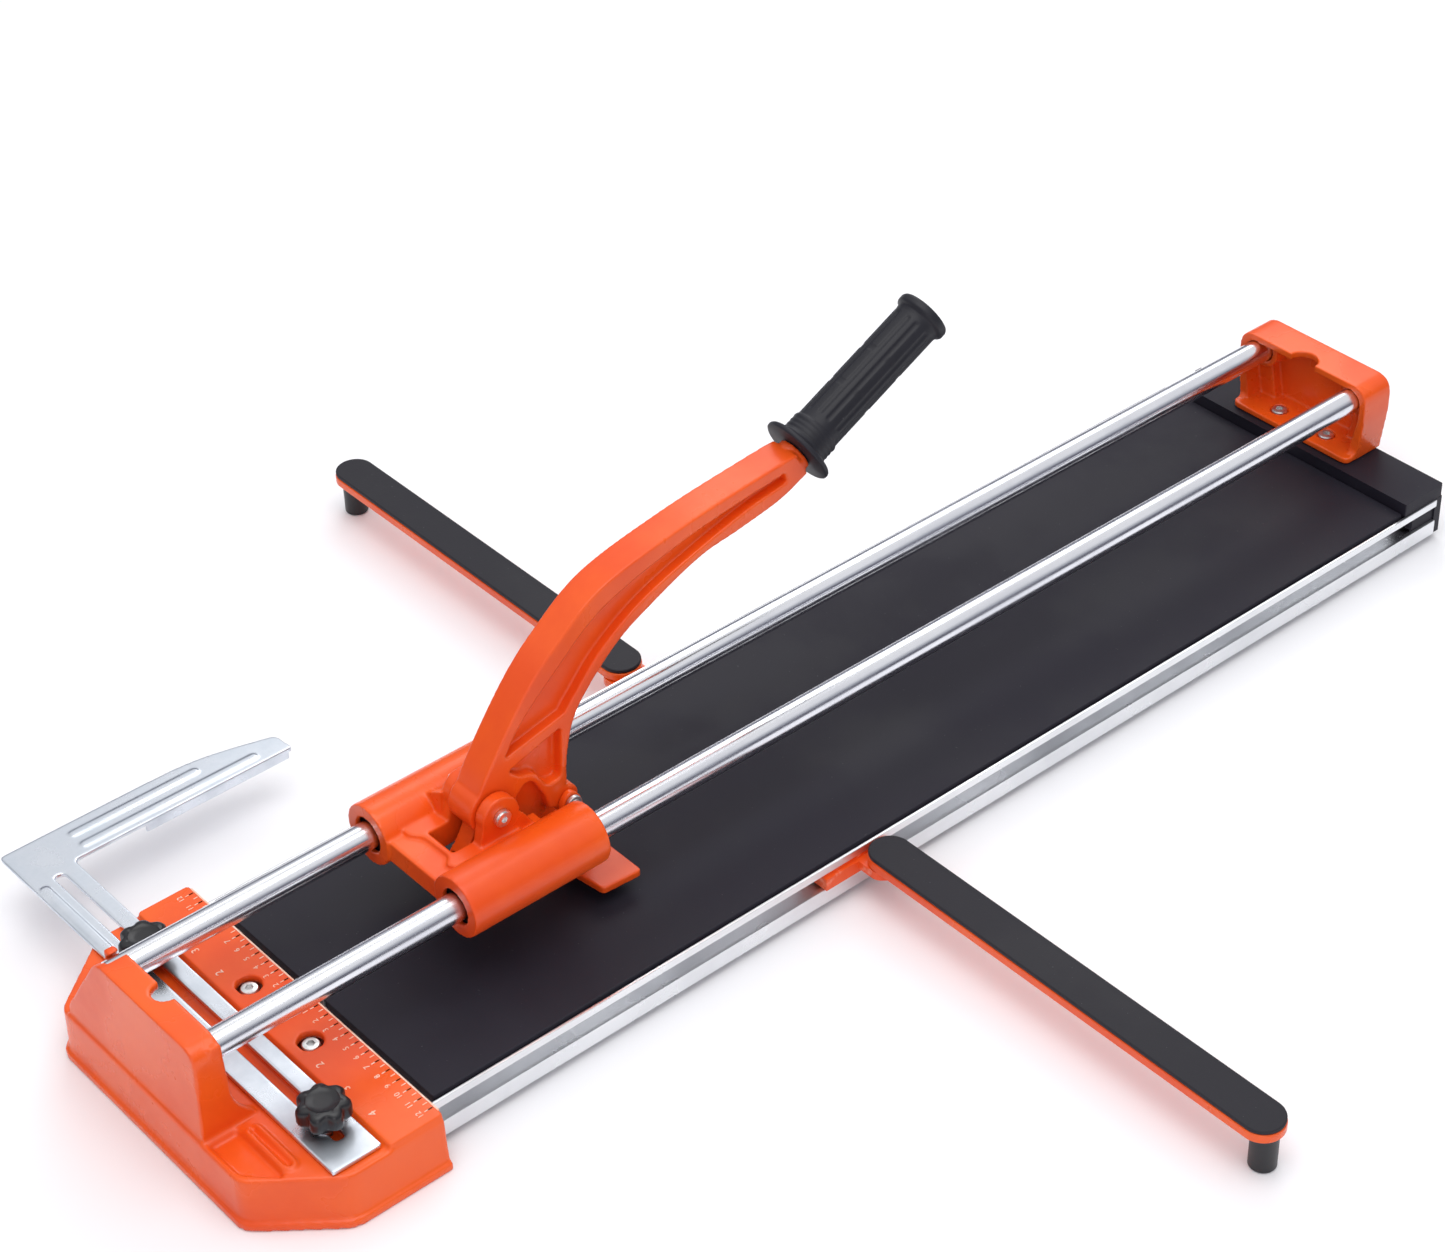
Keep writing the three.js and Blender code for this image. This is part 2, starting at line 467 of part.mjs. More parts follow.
function makeLever() {
  let lever = join(solid(alongX(leverOutline(), -LEVER.half, LEVER.half, 3)),
    rodX(LEVER.barrel, PIVOT.y, PIVOT.z, -LEVER.half, LEVER.half),
    rodX(PIN.boss, PIN.y, PIN.z, -LEVER.half, LEVER.half));
  // Nose that reaches down through the bridge to carry the wheel holder.
  lever = join(lever, alongX(outline([
    [PIVOT.y - 12, PIVOT.z + 4], [PIVOT.y - 21, 80, 2], [PIVOT.y - 33, 76, 2], [PIVOT.y - 31, 67],
    [PIVOT.y - 22, 64], [PIVOT.y - 4, 84, 4], [PIVOT.y + 10, PIVOT.z],
  ].reverse()), -8, 8));
  const flanks = [
    [-LEVER.half - 1, -LEVER.half + LEVER.web], [LEVER.half - LEVER.web, LEVER.half + 1],
  ];
  for (const [x0, x1] of flanks) {
    lever = cut(lever, alongX(flankHollow(), x0, x1, 3),
      alongX(outline([[150, 132, 3], [174, 143, 3], [172, 106, 4], [146, 112, 4]].reverse()), x0, x1));
  }
  const tang = new THREE.CylinderGeometry(TANG.r, TANG.r, TANG.length + 18, SMALL_ROUND)
    .rotateX(gripTurn)
    .translate(0, GRIP.y + gripDirection.x * (TANG.length - 18) / 2,
      GRIP.z + gripDirection.y * (TANG.length - 18) / 2);
  const socket = new THREE.CylinderGeometry(11, 11, 16, SMALL_ROUND).rotateX(gripTurn)
    .translate(0, GRIP.y - gripDirection.x * 8.6, GRIP.z - gripDirection.y * 8.6);
  lever = join(lever, socket, tang);
  lever = cut(lever,
    rodX(PIVOT.bolt + PIVOT.clearance, PIVOT.y, PIVOT.z, -30, 30),
    rodX(PIN.r + GAP, PIN.y, PIN.z, -30, 30),
    box(-4 - GAP, 4 + GAP, PIVOT.y - 36, PIVOT.y - 17, 60, 82 + GAP),
    rodX(2.2, PIVOT.y - 26, 73, 3, 12, SMALL_ROUND));
  place('lever', lever, orange);
}

// ---- scoring wheel under the nose of the lever --------------------------------------------
function makeWheel() {
  const holder = alongX(outline([
    [WHEEL.y - 5, 81], [WHEEL.y - 5, WHEEL.z - 5, 3], [WHEEL.y + 5, WHEEL.z - 5, 3], [WHEEL.y + 5, 81],
  ]), -4, 4);
  const fork = cut(solid(holder),
    box(-WHEEL.width / 2 - 0.4, WHEEL.width / 2 + 0.4, WHEEL.y - 20, WHEEL.y + 20,
      40, WHEEL.z + WHEEL.r + 1.5),
    rodX(WHEEL.axle + GAP, WHEEL.y, WHEEL.z, -10, 10, SMALL_ROUND));
  place('wheel_holder', fork, screwSteel);
  place('wheel_set_screw', rodX(2, PIVOT.y - 26, 73, 4 + GAP, 10, SMALL_ROUND), screwSteel);
  place('wheel_axle', rodX(WHEEL.axle, 0, 0, -4, 4, SMALL_ROUND), screwSteel, 0, WHEEL.y, WHEEL.z);
  const edge = 0.25;
  const half = WHEEL.width / 2;
  const bore = WHEEL.axle + 0.08;
  const wheel = new THREE.LatheGeometry([
    [bore, -half], [WHEEL.r - 1.5, -half], [WHEEL.r, -edge], [WHEEL.r, edge],
    [WHEEL.r - 1.5, half], [bore, half], [bore, -half],
  ].map(([r, h]) => new THREE.Vector2(r, h)), ROUND).rotateZ(-Math.PI / 2);
  place('scoring_wheel', geometryOf(solid(wheel)), carbide, 0, WHEEL.y, WHEEL.z);
}

// ---- breaker foot, hung from the pin behind the lever --------------------------------------
function makeBreakerFoot() {
  const wing = plate(outline([
    [0, FOOT.front - 7], [FOOT.half - 2, FOOT.front, 3], [FOOT.half, FOOT.rear, 3], [0, FOOT.rear],
    [-FOOT.half, FOOT.rear, 3], [-FOOT.half + 2, FOOT.front, 3],
  ]), FOOT.top - FOOT.thick, FOOT.top);
  let foot = solid(wing);
  bothSides((_, sign) => {
    const cheek = [LEVER.half + GAP, LEVER.half + FOOT.cheek].map((x) => x * sign).sort((a, b) => a - b);
    foot = join(foot, alongX(outline([
      [FOOT.rear - 4, FOOT.top - 2], [PIN.y + 7, PIN.z + 2, 4], [PIN.y, PIN.z + 8, 4],
      [PIN.y - 7, PIN.z + 2, 4], [FOOT.front - 2, FOOT.top - 2],
    ]), cheek[0], cheek[1]));
  });
  foot = cut(foot, rodX(PIN.r + 0.08, PIN.y, PIN.z, -30, 30));
  place('breaker_foot', foot, orange);
  const pin = join(solid(rodX(PIN.r, 0, 0, -19, 19, SMALL_ROUND)),
    rodX(5.4, 0, 0, LEVER.half + FOOT.cheek + GAP, 20, SMALL_ROUND),
    rodX(5.4, 0, 0, -20, -LEVER.half - FOOT.cheek - GAP, SMALL_ROUND));
  place('breaker_pin', pin, screwSteel, 0, PIN.y, PIN.z);
}

// ---- rubber grip over the tang -----------------------------------------------------------------
function makeGrip() {
  const g = GRIP;
  const bore = TANG.r + GAP;
  const profile = [
    [0, TANG.length + 1], [bore, TANG.length + 1], [bore, 0], [g.flange - 1, 0], [g.flange, 1.5],
    [g.flange, 3], [g.collar, 5], [g.collar, 17.6], [g.r, 18.6], [g.r, gripLength - 7],
    [g.end, gripLength - 5], [g.end, gripLength - 1], [g.end - 1.5, gripLength], [0, gripLength],
  ];
  const geometry = new THREE.LatheGeometry(profile.map(([r, h]) => new THREE.Vector2(r, h)), 20);
  const mesh = place('grip', geometryOf(solid(geometry)), rubberBlack, 0, g.y, g.z);
  mesh.rotation.x = gripTurn;
}

// ---- support arms: shoe in the side channel, swinging bar, rubber strip, foot -------------------
function armOutline(inset) {
  const half = ARM.half - inset;
  const shape = new THREE.Shape();
  shape.absarc(0, 0, half, Math.PI / 2, Math.PI * 1.5, false);
  shape.absarc(ARM.tipX - ARM.pivotX - ARM.half, 0, half, -Math.PI / 2, Math.PI / 2, false);
  shape.closePath();
  return shape;
}

function makeArms() {
  bothSides((side, sign) => {
    const arm = new THREE.Group();
    arm.position.set(sign * ARM.pivotX, ARM.y, 0);
    arm.rotation.z = sign < 0 ? Math.PI : 0;
    machine.add(arm);
    const local = (x) => x - ARM.pivotX;

    const tab = outline([
      [local(112.8), -ARM.half], [2, -ARM.half, 4], [14, 0, 9], [2, ARM.half, 4], [local(112.8), ARM.half],
    ]);
    const reach = sign > 0 ? [-ARM.half - SHOE.front, ARM.half] : [-ARM.half, ARM.half + SHOE.front];
    let shoe = join(solid(plate(tab, SHOE.plate, SHOE.top)),
      box(local(CHANNEL.floor + GAP), local(BED.half + 2), reach[0], reach[1],
        SHOE.z, CHANNEL.high - GAP));
    shoe = cut(shoe, rodZ(ARM_BOLT.hole, 0, 0, 0, 40, SMALL_ROUND),
      box(local(BED.half + GAP), local(BED.half + 3), reach[0] - 1, reach[1] + 1, SHOE.top, 40));
    place(`arm_shoe_${side}`, shoe, orange, 0, 0, 0, arm);

    let bar = solid(plate(armOutline(0), ARM.bottom, ARM.bar));
    bar = cut(bar, rodZ(ARM_BOLT.hole, 0, 0, 0, 40, SMALL_ROUND),
      rodZ(3.3, local(ARM_FOOT.x), 0, 0, 40, SMALL_ROUND));
    place(`support_arm_${side}`, bar, orange, 0, 0, 0, arm);
    const strip = cut(solid(plate(armOutline(0.4), ARM.bar + GAP, ARM.top)),
      rodZ(ARM_BOLT.head + 0.4, 0, 0, 0, ARM.bar + 1.6, SMALL_ROUND));
    place(`arm_strip_${side}`, strip, rubberBlack, 0, 0, 0, arm);
    const bolt = join(solid(rodZ(ARM_BOLT.r, 0, 0, SHOE.plate - 3, ARM.bar + 0.8, SMALL_ROUND)),
      rodZ(ARM_BOLT.head, 0, 0, ARM.bar + GAP, ARM.bar + 1.2, SMALL_ROUND),
      rodZ(ARM_BOLT.head, 0, 0, SHOE.plate - 4, SHOE.plate - GAP, 6));
    place(`arm_pivot_bolt_${side}`, bolt, screwSteel, 0, 0, 0, arm);
    const foot = join(solid(rodZ(ARM_FOOT.r, local(ARM_FOOT.x), 0, 0, ARM.bottom - GAP)),
      rodZ(3, local(ARM_FOOT.x), 0, 1, ARM.bar - 1, SMALL_ROUND));
    place(`arm_foot_${side}`, foot, rubberBlack, 0, 0, 0, arm);
  });
}

makeFrontBase();
makeBed();
makeRearBracket();
makeRails();
makeSquare();
makeClamps();
makeCarriage();
makeLever();
makeWheel();
makeBreakerFoot();
makeGrip();
makeArms();
makeFasteners();

export default machine;
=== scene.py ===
# %% [markdown]
# # A manual tile cutter
#
# The machine stands as it is sold: a cast front base, a long aluminium bed with two black
# plates, two chrome rails, and a cast carriage whose lever scores a tile and then snaps it.
# The design says where every part sits and how it moves, and this lesson gives each part
# its real surface: soft cast corners, ground chrome, moulded rubber. Lengths are written in
# millimetres, and turned into metres in one place.

import math

import bmesh
import bpy
from mathutils import Matrix, Vector


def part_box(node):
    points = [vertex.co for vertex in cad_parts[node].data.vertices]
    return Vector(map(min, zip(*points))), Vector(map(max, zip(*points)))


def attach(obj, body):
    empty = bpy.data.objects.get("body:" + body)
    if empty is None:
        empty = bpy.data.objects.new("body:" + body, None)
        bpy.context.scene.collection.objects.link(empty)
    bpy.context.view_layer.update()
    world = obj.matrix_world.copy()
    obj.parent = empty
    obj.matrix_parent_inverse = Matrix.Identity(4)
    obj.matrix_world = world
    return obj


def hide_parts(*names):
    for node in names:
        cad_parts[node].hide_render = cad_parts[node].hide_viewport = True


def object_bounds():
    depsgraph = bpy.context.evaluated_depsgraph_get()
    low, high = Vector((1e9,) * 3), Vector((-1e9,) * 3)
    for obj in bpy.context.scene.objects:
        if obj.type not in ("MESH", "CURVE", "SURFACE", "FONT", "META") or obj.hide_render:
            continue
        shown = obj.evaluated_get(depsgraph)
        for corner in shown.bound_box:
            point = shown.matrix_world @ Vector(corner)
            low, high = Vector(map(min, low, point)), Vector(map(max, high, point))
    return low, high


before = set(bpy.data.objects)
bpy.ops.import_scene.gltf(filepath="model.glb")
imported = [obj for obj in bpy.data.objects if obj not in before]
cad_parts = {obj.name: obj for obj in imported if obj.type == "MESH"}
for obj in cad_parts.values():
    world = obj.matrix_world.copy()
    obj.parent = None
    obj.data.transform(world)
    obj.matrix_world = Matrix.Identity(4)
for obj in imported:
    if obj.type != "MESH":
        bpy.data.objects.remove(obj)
cad_box = [list(corner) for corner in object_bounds()]
MM = 0.001
FRONT_RIM = -120.0      # stations along the machine start at the table's edge
TABLE_START = cad_box[0][1] / MM - FRONT_RIM

# %% [markdown]
# ## Camera, floor and light
#
# The machine stands on white paper in a light tent, seen through a longish lens from above
# its front corner. The tent is a sky that is bright overhead and dim near the floor, and
# three big soft lamps add the long highlights on the rails. Smaller lamps would give harder
# shadows. The camera leans a little, and its axis is a touch off centre.

# %% Camera
LOOK_AZIMUTH, LOOK_ELEVATION, LOOK_ROLL = 50.8125, 37.063, -2.1663
CAMERA_PLACE = (1.21682, -1.06315, 1.33207)
SENSOR, LENS = 36.0, 81.26
SHIFT_X, SHIFT_Y = 0.00725, 0.00107
VIEW_END = 100


def placed(name, data):
    """A new object in the scene."""
    piece = bpy.data.objects.new(name, data)
    bpy.context.collection.objects.link(piece)
    return piece


def aim_camera():
    azimuth, elevation, roll = (math.radians(a) for a in (LOOK_AZIMUTH, LOOK_ELEVATION, LOOK_ROLL))
    ahead = Vector((-math.sin(azimuth) * math.cos(elevation),
                    math.cos(azimuth) * math.cos(elevation), -math.sin(elevation)))
    level = Vector((math.cos(azimuth), math.sin(azimuth), 0))
    upright = level.cross(ahead)
    right = level * math.cos(roll) + upright * math.sin(roll)
    up = upright * math.cos(roll) - level * math.sin(roll)
    data = bpy.data.cameras.new("camera")
    data.sensor_width, data.lens = SENSOR, LENS
    data.shift_x, data.shift_y = SHIFT_X, SHIFT_Y
    data.clip_end = VIEW_END
    camera = placed("camera", data)
    camera.matrix_world = Matrix.Translation(CAMERA_PLACE) @ Matrix(
        (right, up, -ahead)).transposed().to_4x4()
    bpy.context.scene.camera = camera


aim_camera()

# %% Floor, sky and lamps
FLOOR_HALF, FLOOR_DROP = 30.0, 0.0004
PAPER_COLOUR, PAPER_ROUGHNESS = (0.93, 0.93, 0.95), 0.75
SKY_STRENGTH = 0.86
SKY_STOPS = [
    (0.0, (0.10, 0.10, 0.13)), (0.22, (0.16, 0.16, 0.20)), (0.40, (0.55, 0.57, 0.62)),
    (0.62, (0.98, 0.98, 1.0)), (1.0, (1.0, 1.0, 1.0)),
]
LAMPS = [  # name, place, target, width in metres, watts, colour
    ("back_softbox", (-1.4, 1.5, 2.0), (0, 0, 0), 1.6, 15, (1, 1, 1)),
    ("top_softbox", (0.4, -0.3, 2.6), (0, 0, 0), 2.2, 30, (1, 1, 1)),
    ("front_fill", (2.2, -1.8, 0.9), (0, 0, 0.1), 1.2, 10, (1.0, 0.93, 0.97)),
]


def lay_floor():
    paper = bpy.data.materials.new("white_paper")
    paper.use_nodes = True
    shader = paper.node_tree.nodes["Principled BSDF"]
    shader.inputs["Base Color"].default_value = (*PAPER_COLOUR, 1)
    shader.inputs["Roughness"].default_value = PAPER_ROUGHNESS
    mesh = bpy.data.meshes.new("floor")
    corners = [(-1, -1), (1, -1), (1, 1), (-1, 1)]
    mesh.from_pydata([(x * FLOOR_HALF, y * FLOOR_HALF, -FLOOR_DROP) for x, y in corners], [], [range(4)])
    mesh.materials.append(paper)
    placed("floor", mesh)


def pitch_tent():
    """A sky that is dim near the floor, which gives metal its dark streaks."""
    world = bpy.data.worlds.new("light_tent")
    world.use_nodes = True
    tree = world.node_tree
    height = tree.nodes.new("ShaderNodeSeparateXYZ")
    tree.links.new(tree.nodes.new("ShaderNodeTexCoord").outputs["Generated"], height.inputs[0])
    ramp = tree.nodes.new("ShaderNodeValToRGB")
    ramp.color_ramp.interpolation = "EASE"
    stops = ramp.color_ramp.elements
    for stop, (position, tone) in zip((stops[0], stops[1]), (SKY_STOPS[0], SKY_STOPS[-1])):
        stop.position, stop.color = position, (*tone, 1)
    for position, tone in SKY_STOPS[1:-1]:
        stops.new(position).color = (*tone, 1)
    sky = tree.nodes["Background"]
    tree.links.new(height.outputs["Z"], ramp.inputs["Fac"])
    tree.links.new(ramp.outputs["Color"], sky.inputs["Color"])
    sky.inputs["Strength"].default_value = SKY_STRENGTH
    bpy.context.scene.world = world


def hang_lamp(name, place, target, width, watts, colour):
    data = bpy.data.lights.new(name, "AREA")
    data.shape, data.size, data.size_y = "RECTANGLE", width, width
    data.energy, data.color = watts, colour
    lamp = placed(name, data)
    lamp.location = place
    lamp.rotation_euler = (Vector(target) - Vector(place)).to_track_quat("-Z", "Y").to_euler()


lay_floor()
pitch_tent()
bpy.context.scene.view_settings.view_transform = "Standard"
for lamp in LAMPS:
    hang_lamp(*lamp)

# %% [markdown]
# ## Shared surface effects
#
# Four things happen to many of these surfaces: a casting keeps a faint orange-peel grain
# under its enamel, edges rub through, hands and dust leave patches, and metal keeps the
# lines of the tool that finished it. Each is a node group with named inputs, so that every
# material sets its own amounts. The groups put out only masks and heights.

# %% Node helpers
def new_group(name, inputs, outputs):
    tree = bpy.data.node_groups.new(name, "ShaderNodeTree")
    for label, default in inputs.items():
        socket = tree.interface.new_socket(label, in_out="INPUT", socket_type="NodeSocketFloat")
        socket.default_value = default
    for label in outputs:
        tree.interface.new_socket(label, in_out="OUTPUT", socket_type="NodeSocketFloat")
    return tree, tree.nodes.new("NodeGroupInput"), tree.nodes.new("NodeGroupOutput")


def wire(tree, start, end):
    tree.links.new(start, end)


def noise(tree, coordinates, scale, detail=3.0, roughness=0.55):
    node = tree.nodes.new("ShaderNodeTexNoise")
    node.inputs["Detail"].default_value = detail
    node.inputs["Roughness"].default_value = roughness
    wire(tree, coordinates, node.inputs["Vector"])
    if isinstance(scale, (int, float)):
        node.inputs["Scale"].default_value = scale
    else:
        wire(tree, scale, node.inputs["Scale"])
    return node.outputs["Fac"]


def maths(tree, operation, first, second=None):
    node = tree.nodes.new("ShaderNodeMath")
    node.operation = operation
    for socket, value in zip(node.inputs, (first, second)):
        if isinstance(value, (int, float)):
            socket.default_value = value
        elif value is not None:
            wire(tree, value, socket)
    return node.outputs[0]


def spread(tree, value, low, high, to_low=0.0, to_high=1.0):
    node = tree.nodes.new("ShaderNodeMapRange")
    node.interpolation_type = "SMOOTHSTEP"
    wire(tree, value, node.inputs["Value"])
    for label, number in zip(("From Min", "From Max", "To Min", "To Max"), (low, high, to_low, to_high)):
        if isinstance(number, (int, float)):
            node.inputs[label].default_value = number
        else:
            wire(tree, number, node.inputs[label])
    return node.outputs["Result"]


def object_coordinates(tree):
    return tree.nodes.new("ShaderNodeTexCoord").outputs["Object"]


# %% Cast grain, edge wear, smudges and tool lines
def make_cast_grain():
    tree, enter, leave = new_group("cast_grain", {"Pebble Scale": 900.0, "Flow Scale": 60.0}, ["Height"])
    place = object_coordinates(tree)
    pebbles = noise(tree, place, enter.outputs["Pebble Scale"], 2.0)
    flow = noise(tree, place, enter.outputs["Flow Scale"], 2.0)
    wire(tree, maths(tree, "ADD", maths(tree, "MULTIPLY", pebbles, 0.35), flow), leave.inputs["Height"])
    return tree


def make_edge_wear():
    tree, enter, leave = new_group("edge_wear", {"Sharpness": 0.53, "Patch Scale": 140.0}, ["Mask"])
    pointy = tree.nodes.new("ShaderNodeNewGeometry").outputs["Pointiness"]
    edge = spread(tree, pointy, enter.outputs["Sharpness"], 0.6)
    patchy = noise(tree, object_coordinates(tree), enter.outputs["Patch Scale"], 6.0)
    patches = spread(tree, patchy, 0.5, 0.68)
    wire(tree, maths(tree, "MULTIPLY", edge, patches), leave.inputs["Mask"])
    return tree


def make_smudges():
    tree, enter, leave = new_group(
        "smudges", {"Patch Scale": 14.0, "Speck Scale": 420.0}, ["Patches", "Specks"])
    place = object_coordinates(tree)
    wire(tree, spread(tree, noise(tree, place, enter.outputs["Patch Scale"], 5.0, 0.6), 0.35, 0.7),
         leave.inputs["Patches"])
    wire(tree, spread(tree, noise(tree, place, enter.outputs["Speck Scale"], 1.0), 0.76, 0.82),
         leave.inputs["Specks"])
    return tree


def make_tool_lines():
    tree, enter, leave = new_group(
        "tool_lines", {"Across X": 1.0, "Across Y": 1.0, "Across Z": 1.0}, ["Height"])
    parts = tree.nodes.new("ShaderNodeCombineXYZ")
    for axis in "XYZ":
        wire(tree, enter.outputs[f"Across {axis}"], parts.inputs[axis])
    product = tree.nodes.new("ShaderNodeVectorMath")
    product.operation = "MULTIPLY"
    wire(tree, object_coordinates(tree), product.inputs[0])
    wire(tree, parts.outputs[0], product.inputs[1])
    wire(tree, noise(tree, product.outputs[0], 1.0, 4.0, 0.6), leave.inputs["Height"])
    return tree


EFFECTS = {
    "cast_grain": make_cast_grain(), "edge_wear": make_edge_wear(),
    "smudges": make_smudges(), "tool_lines": make_tool_lines(),
}
print("effects:", sorted(EFFECTS))


# %% [markdown]
# ## Finishes
#
# A finish is one Principled shader with its fixed numbers on its own sockets, and the
# things that change over the surface wired in: colour, roughness and a small bump. Enamel
# on a casting is a thin glossy coat over a coloured base. Chrome and zinc are metals with
# fine lines. Moulded plastic and rubber are dull, with a fine grain. Each finish has a
# function of its own, so that one can be read without the others.

# %% Finish helpers
class Finish:
    """A material with its tree, its shader and the wiring that every finish shares."""

    def __init__(self, name, **sockets):
        self.material = bpy.data.materials.new(name)
        self.material.use_nodes = True
        self.tree = self.material.node_tree
        self.shader = self.tree.nodes["Principled BSDF"]
        for label, value in sockets.items():
            self.shader.inputs[label.replace("_", " ")].default_value = value

    def effect(self, name, **values):
        node = self.tree.nodes.new("ShaderNodeGroup")
        node.node_tree = EFFECTS[name]
        for label, value in values.items():
            node.inputs[label.replace("_", " ")].default_value = value
        return node.outputs

    def mix(self, mask, first, second):
        node = self.tree.nodes.new("ShaderNodeMix")
        node.data_type = "RGBA"
        wire(self.tree, mask, node.inputs["Factor"])
        for socket, value in ((node.inputs[6], first), (node.inputs[7], second)):
            if isinstance(value, tuple):
                socket.default_value = (*value, 1)
            else:
                wire(self.tree, value, socket)
        return node.outputs[2]

    def colour(self, socket):
        wire(self.tree, socket, self.shader.inputs["Base Color"])

    def roughness(self, mask, low, high):
        wire(self.tree, spread(self.tree, mask, 0.0, 1.0, low, high), self.shader.inputs["Roughness"])

    def smudged(self, patch, speck, first, second, low, high):
        """Colour and roughness in soft patches; gives back the specks and the mixed colour."""
        smudge = self.effect("smudges", Patch_Scale=patch, Speck_Scale=speck)
        self.roughness(smudge["Patches"], low, high)
        return smudge["Specks"], self.mix(smudge["Patches"], first, second)

    def specked(self, specks, share, colour, tone):
        """The colour with a share of another tone where the specks are."""
        return self.mix(maths(self.tree, "MULTIPLY", specks, share), colour, tone)

    def bump(self, height, depth, strength=1.0):
        node = self.tree.nodes.new("ShaderNodeBump")
        node.inputs["Strength"].default_value = strength
        node.inputs["Distance"].default_value = depth * MM
        wire(self.tree, height, node.inputs["Height"])
        wire(self.tree, node.outputs["Normal"], self.shader.inputs["Normal"])


# %% Enamel on the castings
ENAMEL = (0.90, 0.115, 0.010)
ENAMEL_DEEP = (0.80, 0.075, 0.006)
BARE_CASTING = (0.95, 0.66, 0.52)
WORN_SHARE, WEAR_SHARPNESS = 0.3, 0.54


def orange_enamel():
    """A thin glossy coat, worn through in places along the edges."""
    finish = Finish("orange_enamel", Roughness=0.3, IOR=1.42, Coat_Weight=0.12, Coat_Roughness=0.15)
    _, coat = finish.smudged(9.0, 500.0, ENAMEL, ENAMEL_DEEP, 0.24, 0.38)
    wear = finish.effect("edge_wear", Sharpness=WEAR_SHARPNESS)["Mask"]
    finish.colour(finish.specked(wear, WORN_SHARE, coat, BARE_CASTING))
    finish.bump(finish.effect("cast_grain", Pebble_Scale=700.0, Flow_Scale=55.0)["Height"], 0.14, 0.35)
    return finish.material


def rubbed_marks():
    """Raised figures whose tops are rubbed almost bare."""
    finish = Finish("rubbed_marks", Roughness=0.4)
    finish.colour(finish.smudged(160.0, 900.0, (0.95, 0.50, 0.34), (0.93, 0.72, 0.60), 0.34, 0.5)[1])
    finish.bump(finish.effect("cast_grain", Pebble_Scale=1500.0, Flow_Scale=300.0)["Height"], 0.1, 0.4)
    return finish.material


# %% Metals
def metal(name, roughness):
    return Finish(name, Metallic=1.0, Roughness=roughness)


def lined(finish, lines, depth, strength):
    """Adds the lines of the tool that finished the metal: lines is their pitch across X, Y and Z."""
    across = dict(zip(("Across_X", "Across_Y", "Across_Z"), lines))
    finish.bump(finish.effect("tool_lines", **across)["Height"], depth, strength)
    return finish.material


def hard_chrome():
    finish = metal("hard_chrome", 0.2)
    finish.colour(finish.smudged(11.0, 300.0, (0.84, 0.85, 0.89), (0.74, 0.75, 0.80), 0.17, 0.26)[1])
    return lined(finish, (2400.0, 9.0, 2400.0), 0.004, 0.15)


def zinc_plating():
    finish = metal("zinc_plating", 0.32)
    specks, plate = finish.smudged(26.0, 650.0, (0.76, 0.80, 0.86), (0.62, 0.67, 0.73), 0.26, 0.42)
    finish.colour(finish.specked(specks, 0.15, plate, (0.45, 0.48, 0.5)))
    return lined(finish, (60.0, 1500.0, 900.0), 0.02, 0.4)


def mill_aluminium():
    finish = metal("mill_aluminium", 0.3)
    finish.colour(finish.smudged(7.0, 380.0, (0.86, 0.87, 0.885), (0.74, 0.75, 0.77), 0.26, 0.4)[1])
    return lined(finish, (1600.0, 5.0, 1600.0), 0.03, 0.5)


def screw_steel(name="screw_steel_plated", colour=(0.90, 0.90, 0.90)):
    finish = metal(name, 0.35)
    dull = tuple(part * 0.62 for part in colour)
    finish.colour(finish.smudged(120.0, 900.0, colour, dull, 0.3, 0.5)[1])
    return lined(finish, (900.0, 900.0, 300.0), 0.02, 0.4)


# %% Black coating, plastic and rubber
def dull_black(name, tone, patch_tone, roughness, grain_scale, grain_depth, specular=0.5):
    finish = Finish(name, Roughness=roughness, Specular_IOR_Level=specular)
    specks, skin = finish.smudged(8.0, 520.0, tone, patch_tone, roughness - 0.05, roughness + 0.08)
    finish.colour(finish.specked(specks, 0.25, skin, (0.16, 0.16, 0.17)))
    grain = finish.effect("cast_grain", Pebble_Scale=grain_scale, Flow_Scale=grain_scale * 0.3)
    finish.bump(grain["Height"], grain_depth, 0.5)
    return finish.material


FINISHES = {
    "enamel": orange_enamel(),
    "marks": rubbed_marks(),
    "chrome": hard_chrome(),
    "zinc": zinc_plating(),
    "alloy": mill_aluminium(),
    "screw": screw_steel(),
    "carbide": screw_steel("wheel_carbide_ground", (0.42, 0.43, 0.46)),
    "table": dull_black("table_black_coating", (0.013, 0.0115, 0.019), (0.018, 0.016, 0.025),
                        0.55, 1500.0, 0.04, 0.25),
    "plastic": dull_black("moulded_black_plastic", (0.007, 0.007, 0.009), (0.012, 0.012, 0.015),
                          0.34, 1100.0, 0.08),
    "rubber": dull_black("grip_black_rubber", (0.010, 0.010, 0.015), (0.015, 0.015, 0.022),
                         0.5, 1300.0, 0.10, 0.35),
    "strip": dull_black("strip_black_rubber", (0.012, 0.011, 0.016), (0.018, 0.017, 0.023),
                        0.6, 1700.0, 0.12, 0.35),
}
print("finishes:", len(FINISHES))

# %% [markdown]
# ## A small kit of solids
#
# Most parts here are outlines pushed along one axis: a plate seen from above, a lever seen
# from the side. A casting is several of these run together, with holes cut and every
# corner melted a little. It could be modelled edge by edge with bevels, but a skin drawn
# over the joined solids and then smoothed gives the rounded inner corners of real castings
# for nothing. Machined parts keep crisp edges, so those get a plain bevel.

# %% Solids
def at(x, y, z):
    """A point of the machine, in millimetres and stations, as metres in the frame."""
    return Vector((x, y + TABLE_START, z)) * MM


